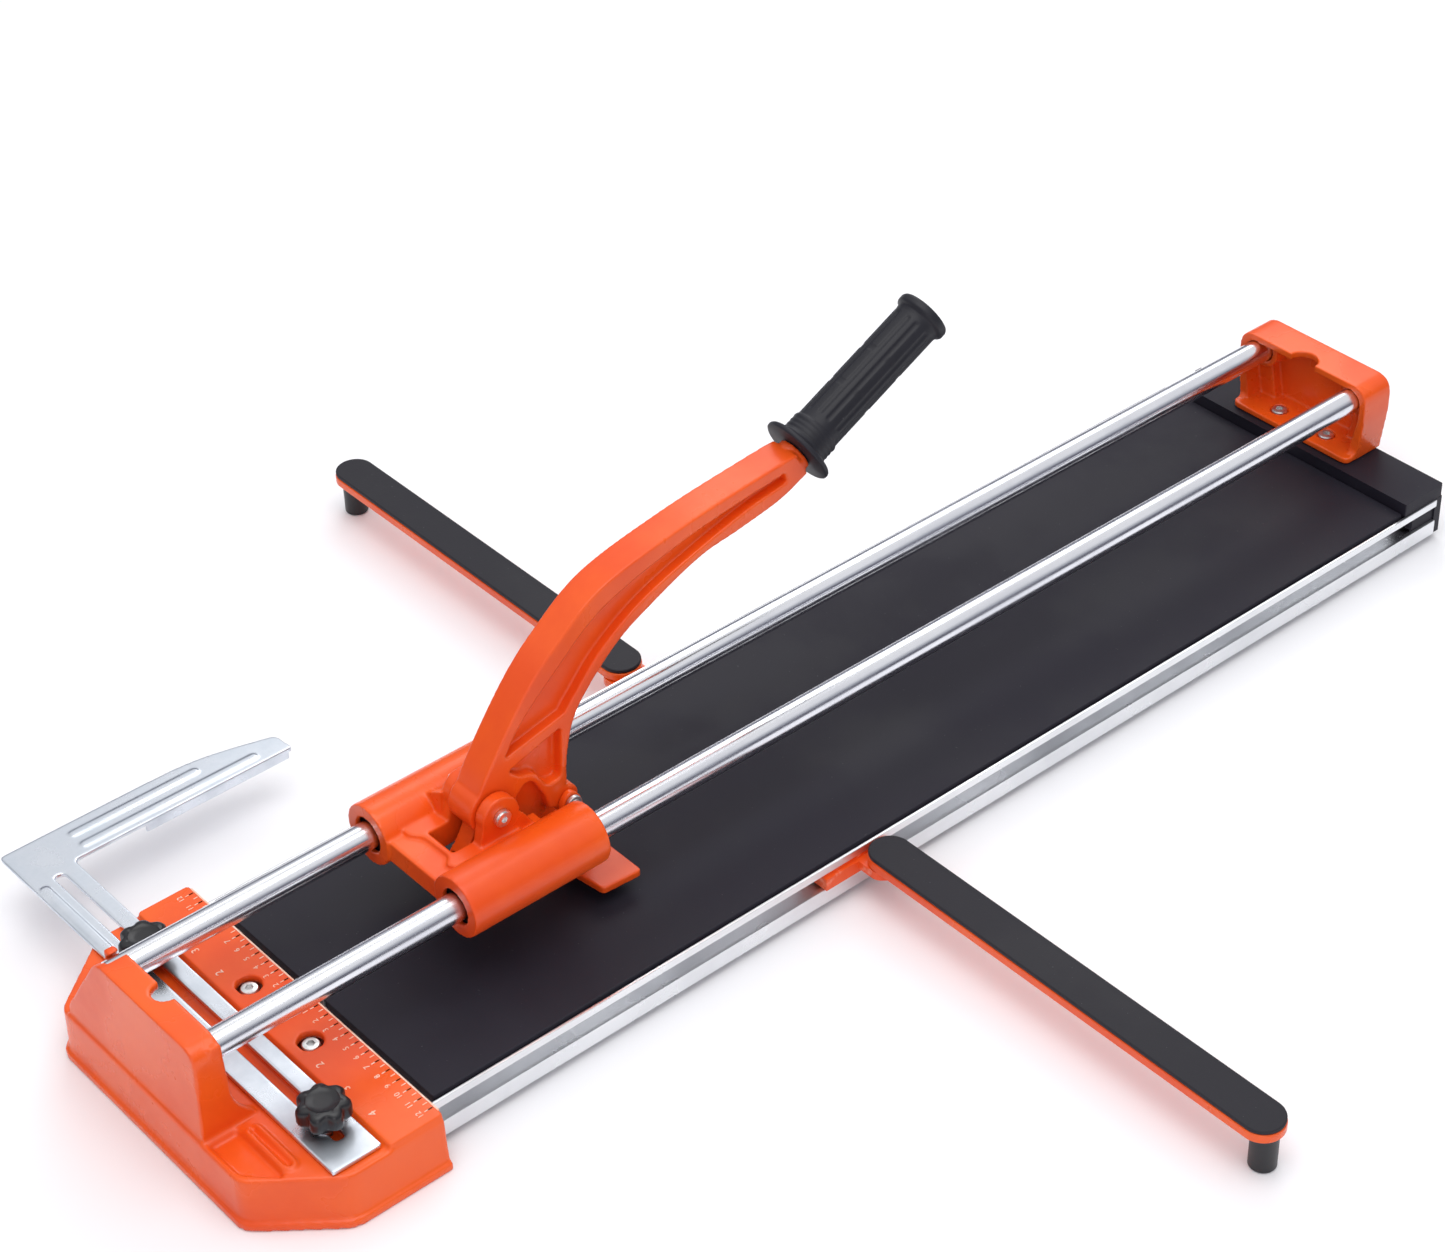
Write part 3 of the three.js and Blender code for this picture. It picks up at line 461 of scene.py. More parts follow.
def rounded(corners, steps=8):
    """An outline from corners (u, v, radius); a corner with no radius stays sharp."""
    points = []
    for i, corner in enumerate(corners):
        here, radius = Vector(corner[:2]), corner[2] if len(corner) > 2 else 0
        if not radius:
            points.append(here)
            continue
        enter = here + (Vector(corners[i - 1][:2]) - here).normalized() * radius
        leave = here + (Vector(corners[(i + 1) % len(corners)][:2]) - here).normalized() * radius
        for k in range(steps + 1):
            t = k / steps
            points.append(enter * (1 - t) ** 2 + here * 2 * t * (1 - t) + leave * t * t)
    return points


def curve_through(points, steps=10):
    """A smooth run of points through the given ones."""
    knots = [Vector(p) for p in points]
    knots = [knots[0] * 2 - knots[1]] + knots + [knots[-1] * 2 - knots[-2]]
    run = []
    for a, b, c, d in zip(knots, knots[1:], knots[2:], knots[3:]):
        for k in range(steps):
            t = k / steps
            run.append(0.5 * ((2 * b) + (c - a) * t + (2 * a - 5 * b + 4 * c - d) * t * t
                              + (3 * b - a - 3 * c + d) * t ** 3))
    return run + [knots[-2]]


def circle(u, v, radius, sides=64):
    return [Vector((u + radius * math.cos(i * math.tau / sides), v + radius * math.sin(i * math.tau / sides)))
            for i in range(sides)]


def prism(points, axis, low, high, shrink=None):
    """A closed solid: an outline pushed along X, Y or Z from low to high.
    shrink is the share of the outline's size left at the high end."""
    place = {"X": lambda u, v, w: at(w, u, v), "Y": lambda u, v, w: at(u, w, v),
             "Z": lambda u, v, w: at(u, v, w)}[axis]
    middle = sum(points, Vector((0, 0))) / len(points)
    solid = bmesh.new()
    rings = []
    for w, keep in ((low, 1.0), (high, shrink or 1.0)):
        rings.append([solid.verts.new(place(*(middle + (p - middle) * keep), w)) for p in points])
    for i in range(len(points)):
        j = (i + 1) % len(points)
        solid.faces.new((rings[0][i], rings[0][j], rings[1][j], rings[1][i]))
    caps = [solid.faces.new(ring) for ring in rings]
    bmesh.ops.triangulate(solid, faces=caps, ngon_method="EAR_CLIP")
    bmesh.ops.recalc_face_normals(solid, faces=solid.faces)
    return solid


def block(x0, x1, y0, y1, z0, z1):
    return prism([Vector(p) for p in ((x0, y0), (x1, y0), (x1, y1), (x0, y1))], "Z", z0, z1)


def rod(axis, radius, u, v, low, high, sides=64):
    """A round bar. u and v are its centre: Y and Z along X, X and Z along Y, X and Y along Z."""
    return prism(circle(u, v, radius, sides), axis, low, high)


def ring(solid, radius, height, sides):
    """A ring of points about Z. The radius is a number, or a function of the turn."""
    points = []
    for i in range(sides):
        turn = i * math.tau / sides
        reach = radius(turn) if callable(radius) else radius
        points.append(solid.verts.new(Vector((reach * math.cos(turn), reach * math.sin(turn), height)) * MM))
    return points


def skinned(solid, rings, sides, ends=False):
    """Joins rings into one surface. ends closes the first and the last ring."""
    for low, high in zip(rings, rings[1:]):
        for i in range(sides):
            j = (i + 1) % sides
            face = [low[i % len(low)], low[j % len(low)], high[j % len(high)], high[i % len(high)]]
            solid.faces.new(list(dict.fromkeys(face)))
    if ends:
        solid.faces.new(rings[0])
        solid.faces.new(rings[-1])
    bmesh.ops.recalc_face_normals(solid, faces=solid.faces)
    return solid


def lathe(profile, sides=96):
    """A turned shape about Z at the origin, in millimetres. Its profile starts and ends on the
    axis, or comes back to its start."""
    solid = bmesh.new()
    rings = [ring(solid, radius, height, 1 if radius < 1e-6 else sides) for radius, height in profile]
    return skinned(solid, rings, sides)


def turned_ring(profile, sides):
    """A turned shape with a hole through it, whose profile comes back to its start."""
    solid = lathe(profile, sides)
    bmesh.ops.remove_doubles(solid, verts=solid.verts, dist=1e-7)
    bmesh.ops.recalc_face_normals(solid, faces=solid.faces)
    return solid


def moved(solid, place, turn=None):
    """The solid turned by a matrix and set down at a point of the machine."""
    shift = Matrix.Translation(at(*place))
    bmesh.ops.transform(solid, matrix=shift @ (turn or Matrix.Identity(4)), verts=solid.verts)
    return solid


# %% From solids to finished pieces
def object_of(name, solids):
    whole = bmesh.new()
    for solid in solids:
        scrap = bpy.data.meshes.new("scrap")
        solid.to_mesh(scrap)
        whole.from_mesh(scrap)
        bpy.data.meshes.remove(scrap)
        solid.free()
    mesh = bpy.data.meshes.new(name)
    whole.to_mesh(mesh)
    whole.free()
    return placed(name, mesh)


def apply_modifiers(piece):
    graph = bpy.context.evaluated_depsgraph_get()
    mesh = bpy.data.meshes.new_from_object(piece.evaluated_get(graph), depsgraph=graph)
    piece.modifiers.clear()
    piece.data = mesh


def cut_away(piece, cuts):
    """Takes the cutting solids out of a piece, whose own solids may overlap."""
    tool = object_of("tool", cuts)
    modifier = piece.modifiers.new("cut", "BOOLEAN")
    modifier.operation, modifier.object = "DIFFERENCE", tool
    modifier.solver, modifier.use_self = "EXACT", True
    apply_modifiers(piece)
    bpy.data.objects.remove(tool)


def carved(solids, cuts):
    """The solids less the cuts, as one solid to build on."""
    piece = object_of("carved", solids)
    cut_away(piece, cuts)
    solid = bmesh.new()
    solid.from_mesh(piece.data)
    bpy.data.objects.remove(piece)
    return solid


def smoothed(piece, degrees):
    """Smooth shading, kept sharp where faces meet at more than this angle."""
    piece.data.shade_smooth()
    piece.data.set_sharp_from_angle(angle=math.radians(degrees))
    return piece


def casting(name, solids, cuts, voxel=1.1, melt=6):
    """Solids run together under one skin with melted corners."""
    piece = object_of(name, solids)
    cut_away(piece, cuts)
    skin = piece.modifiers.new("skin", "REMESH")
    skin.mode, skin.voxel_size = "VOXEL", voxel * MM
    soften = piece.modifiers.new("melt", "SMOOTH")
    soften.factor, soften.iterations = 0.5, melt
    apply_modifiers(piece)
    piece.data.shade_smooth()
    return piece


def machined(name, solids, cuts=(), edge=0.4, segments=3):
    """Solids with crisp edges and a narrow bevel."""
    piece = object_of(name, solids)
    if cuts:
        cut_away(piece, cuts)
    flat = piece.modifiers.new("flat", "DECIMATE")
    flat.decimate_type, flat.angle_limit = "DISSOLVE", math.radians(0.5)
    bevel = piece.modifiers.new("edge", "BEVEL")
    bevel.width, bevel.segments = edge * MM, segments
    bevel.limit_method, bevel.angle_limit = "ANGLE", math.radians(32)
    bevel.use_clamp_overlap = True
    apply_modifiers(piece)
    smoothed(piece, 40)
    split = piece.modifiers.new("split", "TRIANGULATE")
    split.ngon_method, split.min_vertices = "CLIP", 5
    level = piece.modifiers.new("level", "WEIGHTED_NORMAL")
    level.keep_sharp = True
    apply_modifiers(piece)
    return piece


def fit(piece, finish, body, slot, *nodes):
    """Gives a piece its finish and its body, and hides the plain parts that it stands for."""
    piece.data.materials.clear()
    piece.data.materials.append(FINISHES[finish])
    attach(piece, body)
    if nodes:
        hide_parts(*nodes)
    print(f"{piece.name}: {len(piece.data.polygons)} faces on {body}")
    return piece


# %% [markdown]
# ## Rails, bed and table
#
# The rails are ground bars with a small chamfer at each end, so they are turned shapes with
# enough sides to look round in a long highlight. The bed is one aluminium extrusion: a
# section pushed along the machine, with a channel in each flank. Two black plates lie in
# the shallow tray on top, and a breaker bar runs between them.

# %% Rails
RAIL_RADIUS, RAIL_X, RAIL_Z, RAIL_CHAMFER = 8.75, 42.5, 89.0, 0.8
SIDES = (("left", -1), ("right", 1))
RAIL_ENDS = [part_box("guide_rail_left")[i].y / MM - TABLE_START for i in (0, 1)]


def bar_profile(radius, length, chamfer):
    return [(0, 0), (radius - chamfer, 0), (radius, chamfer), (radius, length - chamfer),
            (radius - chamfer, length), (0, length)]


for side, sign in SIDES:
    along = Matrix.Rotation(-math.pi / 2, 4, "X")
    rail = object_of(f"rail_{side}", [moved(
        lathe(bar_profile(RAIL_RADIUS, RAIL_ENDS[1] - RAIL_ENDS[0], RAIL_CHAMFER)),
        (sign * RAIL_X, RAIL_ENDS[0], RAIL_Z), along)])
    smoothed(rail, 30)
    fit(rail, "chrome", "frame", "rail_chrome", f"guide_rail_{side}")

# %% Bed and plates
BED_HALF, BED_FRONT, BED_REAR = 113.5, -38.0, 858.0
CHAMBER_INNER, CHAMBER_OUTER, CHAMBER_LOW, CHAMBER_TOP = 9.0, 97.0, 8.0, 27.0
PLATE_INNER, PLATE_OUTER, PLATE_FRONT, PLATE_REAR = 5.0, 110.0, 0.3, 825.0
PLATE_LOW, PLATE_TOP, CORNER = 30.3, 36.0, 1.5
BED_SECTION = [
    (0, 5), (108, 5, 1), (BED_HALF, 5, 1.5), (BED_HALF, 17, 0.6), (110, 17, 0.6), (110, 15, 0.5),
    (101.5, 15, 1), (101.5, 28.5, 1), (BED_HALF, 28.5, 0.6), (BED_HALF, 34, 0.8), (111.6, 34, 0.5),
    (110.6, 33, 0.4), (110.3, 30, 0.3), (4.2, 30, 0.3), (4.2, 22.2, 0.3), (0, 22.2),
]
mirrored = [(-c[0], *c[1:]) for c in reversed(BED_SECTION[1:-1])]
chambers = [block(*sorted((sign * CHAMBER_INNER, sign * CHAMBER_OUTER)), BED_FRONT - 1, BED_REAR + 1,
                  CHAMBER_LOW, CHAMBER_TOP) for sign in (1, -1)]
bed = machined("bed_extrusion", [prism(rounded(BED_SECTION + mirrored, 3), "Y", BED_FRONT, BED_REAR)],
               chambers, edge=0.25, segments=2)
fit(bed, "alloy", "frame", "bed_alloy", "bed_profile")

for side, sign in SIDES:
    near, far = sorted((sign * PLATE_INNER, sign * PLATE_OUTER))
    outline = rounded([(near, PLATE_FRONT, CORNER), (far, PLATE_FRONT, CORNER),
                       (far, PLATE_REAR, CORNER), (near, PLATE_REAR, CORNER)], 4)
    plate = machined(f"table_{side}", [prism(outline, "Z", PLATE_LOW, PLATE_TOP)], edge=0.6)
    fit(plate, "table", "frame", "table_black", f"table_plate_{side}")

# %% [markdown]
# ## The front base
#
# One aluminium casting carries everything at the user's end: a drafted foot with a rim, a
# deck, the raised fence with its scale, and a hollow post that grips both rails. All of it
# is cast in one mould, so it is built as one skin: outlines for the foot, deck, fence and
# post, then pockets, rail holes and counterbores cut out. The corners melt together last.

# %% Front base
DECK, FENCE = 36.0, 40.0
SCREW_HOLE, FENCE_BOLT, CLAMP = 3.3, (31.0, -27.0), (90.0, -58.0)
COUNTERBORE, BORE_CLEARANCE = 7.75, 1.3
POST_HALF, POST_TOP, POST_TOE, POST_FACE, POST_BACK = 54.0, 100.5, -115.2, -112.4, -94.0
LEAN_START = 42.0


def base_outline(inset):
    half, front = 132.8 - inset, FRONT_RIM + inset
    right = [(half, -5.0, 1), (half, -72.0 + inset, 7), (93 - inset * 0.4, front, 7)]
    return rounded(right + [(-x, y, r) for x, y, r in reversed(right)])


def leaning_post():
    """The post seen from the front, with its sloping left cheek and its leaning face."""
    face = rounded([(-85, 30), (POST_HALF, 30), (POST_HALF, POST_TOP, 12), (-46, POST_TOP, 10),
                    (-85, LEAN_START, 6)])
    post = prism(face, "Y", POST_TOE, POST_BACK)
    front = at(0, (POST_TOE + POST_BACK) / 2, 0).y
    for vert in post.verts:
        if vert.co.y < front:
            rise = max(0.0, vert.co.z / MM - LEAN_START) / (POST_TOP - LEAN_START)
            vert.co.y += (POST_FACE - POST_TOE) * rise * MM
    return post


def post_wing(x0, x1):
    """The foot of a post cheek, which sweeps back along the deck."""
    return prism(rounded([(POST_BACK - 8, 30), (POST_BACK - 8, 98), (POST_BACK, 98, 3),
                          (POST_BACK + 1, 50, 14), (-79, DECK + 1, 3), (-79, 30)]), "X", x0, x1)


def base_solids():
    low, high = base_outline(0), base_outline(2.2)
    return [
        prism(low, "Z", 0, 5), prism(high, "Z", 0, DECK, shrink=0.988),
        prism(rounded([(-128, -42, 3), (128, -42, 3), (128, -5, 3), (-128, -5, 3)]), "Z", 30, FENCE),
        leaning_post(), post_wing(48, POST_HALF), post_wing(-POST_HALF, -48),
        prism(rounded([(62, -93.5, 3), (104, -93.5, 6), (104, -84.5, 6), (62, -84.5, 3), (62, -86.7, 1),
                       (102, -86.7, 4), (102, -91.3, 4), (62, -91.3, 1)]), "Z", 30, DECK + 1.8),
    ]


def base_cuts():
    cuts = [
        block(-113.8, 113.8, -38.3, 1, -1, 34.3), block(-42, 42, -106, -44, -1, 30),
        block(-110, -50, -84, -44, -1, 30), block(50, 110, -84, -44, -1, 30),
        prism(rounded([(57, -113.5, 2), (86, -113.5, 4), (106, -95, 4), (57, -95, 2)]),
              "Z", DECK - 3.2, DECK + 3),
        prism(rounded([(62, -90.6, 2), (101, -90.6, 2.4), (101, -87.4, 2.4), (62, -87.4, 2)]),
              "Z", DECK - 1.5, DECK + 3),
        block(-112, 112, -63.4, -52.6, 32.5, DECK + 1),
        prism(rounded([(-48, 42, 5), (48, 42, 5), (48, 95, 8), (-48, 95, 8)]), "Y", -107, -78),
        rod("Z", 8, 0, POST_BACK - 1, 92, 104), rod("Z", 7, 0, -4, 36, 42),
    ]
    for sign in (-1, 1):
        bolt, clamp = (sign * FENCE_BOLT[0], FENCE_BOLT[1]), (sign * CLAMP[0], CLAMP[1])
        cuts += [rod("Z", COUNTERBORE, *bolt, 34, 42), rod("Z", SCREW_HOLE, *bolt, 28, 36),
                 rod("Z", SCREW_HOLE, *clamp, 28, 36),
                 rod("Y", RAIL_RADIUS + BORE_CLEARANCE, sign * RAIL_X, RAIL_Z, -107.5, -70)]
    return cuts


base = casting("front_base_casting", base_solids(), base_cuts(), voxel=1.25, melt=3)
fit(base, "enamel", "frame", "orange_paint", "front_base")

# %% [markdown]
# ## The scale on the fence
#
# The fence carries a ruled scale with numbers, cast proud of the surface and rubbed bright.
# The ticks repeat at an even pitch, so Geometry Nodes lay them: a row of points, one small
# bar on each, and longer bars where the count says so. Numbers differ from each other, so
# they are text turned into meshes. They stand a few tenths of a millimetre high.

# %% Tick tree
def socket_id(tree, label):
    return next(s.identifier for s in tree.interface.items_tree if s.name == label)


def make_tick_tree(material):
    tree = bpy.data.node_groups.new("scale_ticks", "GeometryNodeTree")
    for label, default in (("Pitch", 0.01), ("Length", 0.003), ("Width", 0.0005), ("Height", 0.0003)):
        number = tree.interface.new_socket(label, in_out="INPUT", socket_type="NodeSocketFloat")
        number.default_value = default
    tree.interface.new_socket("Count", in_out="INPUT", socket_type="NodeSocketInt").default_value = 10
    tree.interface.new_socket("Start", in_out="INPUT", socket_type="NodeSocketVector")
    tree.interface.new_socket("Geometry", in_out="OUTPUT", socket_type="NodeSocketGeometry")
    enter, leave = tree.nodes.new("NodeGroupInput"), tree.nodes.new("NodeGroupOutput")
    row = tree.nodes.new("GeometryNodeMeshLine")
    step = tree.nodes.new("ShaderNodeCombineXYZ")
    bar = tree.nodes.new("GeometryNodeMeshCube")
    size = tree.nodes.new("ShaderNodeCombineXYZ")
    laid = tree.nodes.new("GeometryNodeInstanceOnPoints")
    real = tree.nodes.new("GeometryNodeRealizeInstances")
    painted = tree.nodes.new("GeometryNodeSetMaterial")
    painted.inputs["Material"].default_value = material
    pairs = [
        (enter.outputs["Pitch"], step.inputs["X"]), (step.outputs[0], row.inputs["Offset"]),
        (enter.outputs["Count"], row.inputs["Count"]), (enter.outputs["Start"], row.inputs["Start Location"]),
        (enter.outputs["Width"], size.inputs["X"]), (enter.outputs["Length"], size.inputs["Y"]),
        (enter.outputs["Height"], size.inputs["Z"]), (size.outputs[0], bar.inputs["Size"]),
        (row.outputs["Mesh"], laid.inputs["Points"]), (bar.outputs["Mesh"], laid.inputs["Instance"]),
        (laid.outputs["Instances"], real.inputs["Geometry"]),
        (real.outputs["Geometry"], painted.inputs["Geometry"]),
        (painted.outputs["Geometry"], leave.inputs["Geometry"]),
    ]
    for start, end in pairs:
        tree.links.new(start, end)
    return tree


def grown(name, tree, **values):
    """An object that a geometry tree makes, as a plain mesh."""
    piece = placed(name, bpy.data.meshes.new(name))
    modifier = piece.modifiers.new("tree", "NODES")
    modifier.node_group = tree
    for label, value in values.items():
        modifier[socket_id(tree, label.replace("_", " "))] = value
    apply_modifiers(piece)
    return piece


# %% Ticks and numbers
TICK_PITCH, TICK_WIDTH, SHORT_TICK, LONG_TICK = 5.0, 0.6, 3.0, 5.5
SCALE_START, SCALE_END, EDGE_Y, MARK_HEIGHT = 10.0, 120.0, -7.0, 0.5
CENTIMETRE_ROW, INCH_ROW = (-15.6, 5.0), (-34.0, 7.0)      # where a row stands and how tall it is
CENTIMETRE, INCH = 10.0, 25.4


def joined(name, pieces):
    bpy.ops.object.select_all(action="DESELECT")
    for piece in pieces:
        piece.select_set(True)
    bpy.context.view_layer.objects.active = pieces[0]
    bpy.ops.object.join()
    pieces[0].name = name
    return pieces[0]


def number_mesh(text, x, y, height):
    curve = bpy.data.curves.new("number", "FONT")
    curve.body, curve.size = text, height * MM
    curve.extrude, curve.align_x, curve.align_y = MARK_HEIGHT * 0.5 * MM, "CENTER", "CENTER"
    curve.resolution_u = 3
    text_object = placed("number", curve)
    graph = bpy.context.evaluated_depsgraph_get()
    mesh = bpy.data.meshes.new_from_object(text_object.evaluated_get(graph), depsgraph=graph)
    bpy.data.objects.remove(text_object)
    mesh.transform(Matrix.Translation(at(x, y, FENCE)) @ Matrix.Rotation(math.pi, 4, "Z"))
    return placed("number", mesh)


ticks = make_tick_tree(FINISHES["marks"])
marks = []
for length, pitch in ((SHORT_TICK, TICK_PITCH), (LONG_TICK, TICK_PITCH * 2)):
    for first in (-SCALE_END, SCALE_START):
        marks.append(grown(
            "ticks", ticks, Pitch=pitch * MM, Length=length * MM, Width=TICK_WIDTH * MM,
            Height=MARK_HEIGHT * MM, Count=int((SCALE_END - SCALE_START) / pitch) + 1,
            Start=at(first, EDGE_Y - length / 2, FENCE)))
for unit, counts, row in ((CENTIMETRE, range(1, 13), CENTIMETRE_ROW), (INCH, range(2, 5), INCH_ROW)):
    for count in counts:
        for sign in (-1, 1):
            marks.append(number_mesh(str(count), sign * count * unit, *row))
# A thin pale strip stands proud along the fence's rear edge.
rim = block(-124, 124, -6.3, -5.2, FENCE - 1, FENCE + 0.25)
marks.append(machined("rubbed_edge", [rim], edge=0.2))
scale = joined("fence_scale", marks)
fit(scale, "marks", "frame", "orange_paint")

# %% [markdown]
# ## Rear bracket and end cap
#
# The rear bracket is another hollow casting, open towards the user, with two screws in its
# foot. It sits on a black moulded cap that closes the end of the bed.

# %% Rear bracket
BRACKET_FRONT, BRACKET_BACK, BRACKET_TOP, BRACKET_FOOT = 841.0, 868.0, 103.0, 44.3
BRACKET_FLOOR, BRACKET_WALL, BRACKET_WAIST, BRACKET_SCREW = 49.0, 5.0, 77.0, (21.7, 847.0)


def bracket_outline(inset, bottom):
    foot, half, top = 53 - inset, 57 - inset, BRACKET_TOP - inset
    return rounded([(-foot, bottom), (foot, bottom), (half, BRACKET_WAIST, 6), (half, top, 13),
                    (-half, top, 13), (-half, BRACKET_WAIST, 6)])


def bracket_solids():
    shell = prism(bracket_outline(0, BRACKET_FOOT), "Y", BRACKET_FRONT, BRACKET_BACK)
    inside = prism(bracket_outline(BRACKET_WALL, BRACKET_FLOOR), "Y", BRACKET_FRONT - 1,
                   BRACKET_BACK - BRACKET_WALL)
    cheek = rounded([(836, BRACKET_FOOT), (868, BRACKET_FOOT), (868, 60), (850, 60), (838, BRACKET_FLOOR)])
    solids = [
        prism(rounded([(-53, 845), (-53, 832, 6), (53, 832, 6), (53, 845)]),
              "Z", BRACKET_FOOT, BRACKET_FLOOR),
        prism(cheek, "X", -53, -48), prism(cheek, "X", 48, 53), carved([shell], [inside]),
    ]
    for sign in (-1, 1):
        boss = [(33, BRACKET_FLOOR), (53, BRACKET_FLOOR), (55, 84), (40, 84)]
        wall = [(46, BRACKET_FLOOR), (53, BRACKET_FLOOR), (57, 84), (53, 84)]
        boss, wall = ([Vector((sign * x, z)) for x, z in outline] for outline in (boss, wall))
        solids += [
            rod("Y", RAIL_RADIUS + 4.6, sign * RAIL_X, RAIL_Z, BRACKET_FRONT + 7, BRACKET_BACK - 2),
            prism(boss, "Y", BRACKET_BACK - 13, BRACKET_BACK - 2),
            prism(wall, "Y", BRACKET_FRONT, BRACKET_BACK - 2),
        ]
    return solids


def bracket_cuts():
    cuts = [rod("Z", 10.5, 0, BRACKET_FRONT, 94, 106)]
    for sign in (-1, 1):
        screw = (sign * BRACKET_SCREW[0], BRACKET_SCREW[1])
        cuts += [rod("Y", RAIL_RADIUS + 0.5, sign * RAIL_X, RAIL_Z, 830, 862.5),
                 rod("Z", 2 * SCREW_HOLE, *screw, 46.2, 56), rod("Z", SCREW_HOLE, *screw, 40, 50)]
    return cuts


bracket = casting("rear_rail_bracket", bracket_solids(), bracket_cuts(), voxel=0.9, melt=3)
fit(bracket, "enamel", "frame", "orange_paint", "rear_bracket")

# %% End cap
CAP_LEFT, CAP_RIGHT, CAP_REAR = -99.0, 112.0, 865.0
CAP_STEP, CAP_TOP, CHANNEL_LOW, CHANNEL_TOP = 34.3, 44.0, 17.3, 28.2

lid = rounded([(CAP_LEFT, 826, 1), (CAP_RIGHT, 826, 1), (CAP_RIGHT, CAP_REAR, 2), (CAP_LEFT, CAP_REAR, 2)], 3)
cap = machined("rear_end_cap", [
    prism(lid, "Z", CAP_STEP, CAP_TOP), block(CAP_LEFT, 109.7, 826.5, CAP_REAR, 30.3, 40),
    block(-CAP_RIGHT, CAP_RIGHT, 858.3, CAP_REAR, 5, 34),
    block(101.8, 111, 836, 864, CHANNEL_LOW, CHANNEL_TOP),
    block(-111, -101.8, 836, 864, CHANNEL_LOW, CHANNEL_TOP),
], [rod("Z", SCREW_HOLE, sign * BRACKET_SCREW[0], BRACKET_SCREW[1], 29, 46, 32) for sign in (-1, 1)],
    edge=0.9)
fit(cap, "table", "frame", "moulded_black", "rear_cap")

# %% [markdown]
# ## Screws
#
# The same socket screw holds the fence and the rear bracket. One head is turned and cut
# once, then Geometry Nodes put a copy on each point, so that a longer list of places is
# all it takes to add more.

# %% Screw tree
def make_screw_tree(head, material):
    tree = bpy.data.node_groups.new("socket_screws", "GeometryNodeTree")
    tree.interface.new_socket("Geometry", in_out="INPUT", socket_type="NodeSocketGeometry")
    size = tree.interface.new_socket("Size", in_out="INPUT", socket_type="NodeSocketFloat")
    size.default_value = 1.0
    tree.interface.new_socket("Geometry", in_out="OUTPUT", socket_type="NodeSocketGeometry")
    enter, leave = tree.nodes.new("NodeGroupInput"), tree.nodes.new("NodeGroupOutput")
    model = tree.nodes.new("GeometryNodeObjectInfo")
    model.inputs["Object"].default_value = head
    laid = tree.nodes.new("GeometryNodeInstanceOnPoints")
    real = tree.nodes.new("GeometryNodeRealizeInstances")
    painted = tree.nodes.new("GeometryNodeSetMaterial")
    painted.inputs["Material"].default_value = material
    for start, end in (
            (enter.outputs["Geometry"], laid.inputs["Points"]),
            (model.outputs["Geometry"], laid.inputs["Instance"]),
            (enter.outputs["Size"], laid.inputs["Scale"]),
            (laid.outputs["Instances"], real.inputs["Geometry"]),
            (real.outputs["Geometry"], painted.inputs["Geometry"]),
            (painted.outputs["Geometry"], leave.inputs["Geometry"])):
        tree.links.new(start, end)
    return tree


HEAD_PROFILE = [(0, -8), (2.9, -8), (2.9, 0), (5.3, 0), (5.5, 0.3), (5.5, 2.2), (4.9, 3.0), (3.6, 3.3),
                (0, 3.3)]
SOCKET_RADIUS, SOCKET_FLOOR = 2.7, 1.5
SCREW_PLACES = [(sign * x, y, seat) for (x, y), seat in ((FENCE_BOLT, 34.6), (BRACKET_SCREW, 46.4))
                for sign in (-1, 1)]


def socket_head():
    """A low round head with a hexagon socket and a length of shank, at the origin."""
    hexagon = prism(circle(0, 0, SOCKET_RADIUS, 6), "Z", SOCKET_FLOOR, 5)
    bmesh.ops.translate(hexagon, verts=hexagon.verts, vec=(0, -TABLE_START * MM, 0))
    piece = object_of("socket_head", [lathe(HEAD_PROFILE, 48)])
    cut_away(piece, [hexagon])
    return smoothed(piece, 30)


head = socket_head()
screw_tree = make_screw_tree(head, FINISHES["screw"])
points = bpy.data.meshes.new("frame_screws")
points.from_pydata([at(*place) for place in SCREW_PLACES], [], [])
screws = placed("frame_screws", points)
grow = screws.modifiers.new("tree", "NODES")
grow.node_group = screw_tree
grow[socket_id(screw_tree, "Size")] = 1.0
apply_modifiers(screws)
bpy.data.objects.remove(head)
fit(screws, "screw", "frame", "screw_steel",
    "fence_bolt_left", "fence_bolt_right", "bracket_screw_left", "bracket_screw_right")

# %% [markdown]
# ## The sliding square and its knobs
#
# The square is pressed from thick zinc-plated plate: a slotted bar with a blade at a right
# angle, and long ribs embossed to stiffen it. The plate is an outline with the slot left
# out, and each rib is a low rounded bar standing proud of it. The star knobs have seven
# lobes with a hollow between each pair, which is a circle whose radius swings as it turns.

# %% Sliding square
SQUARE_LOW, SQUARE_TOP, RIB_RISE = 36.3, 39.3, 0.7
SLOT_START, SLOT_END, SLOT_HALF = -190.0, 105.0, 3.7


def long_hole(x0, x1, y0, y1, radius, steps=8):
    """A box of a given corner radius, which makes its ends round when it is half the width."""
    return rounded([(x0, y0, radius), (x1, y0, radius), (x1, y1, radius), (x0, y1, radius)], steps)


def square_outline():
    return rounded([
        (-228, -76.5, 3), (123, -76.5, 1.2), (123, -43.5, 1.2), (-195.5, -43.5, 5),
        (-195.5, 116.6, 1.2), (-212, 115, 4), (-219, 93, 10), (-226, 66, 12), (-228, 42, 12),
    ])


def emboss(x0, x1, y0, y1):
    """A long stiffening rib: a low step with round ends."""
    radius = min(x1 - x0, y1 - y0) / 2 - 0.01
    rib = long_hole(x0, x1, y0, y1, radius, 6)
    return prism(rib, "Z", SQUARE_TOP - 1, SQUARE_TOP + RIB_RISE, shrink=0.985)


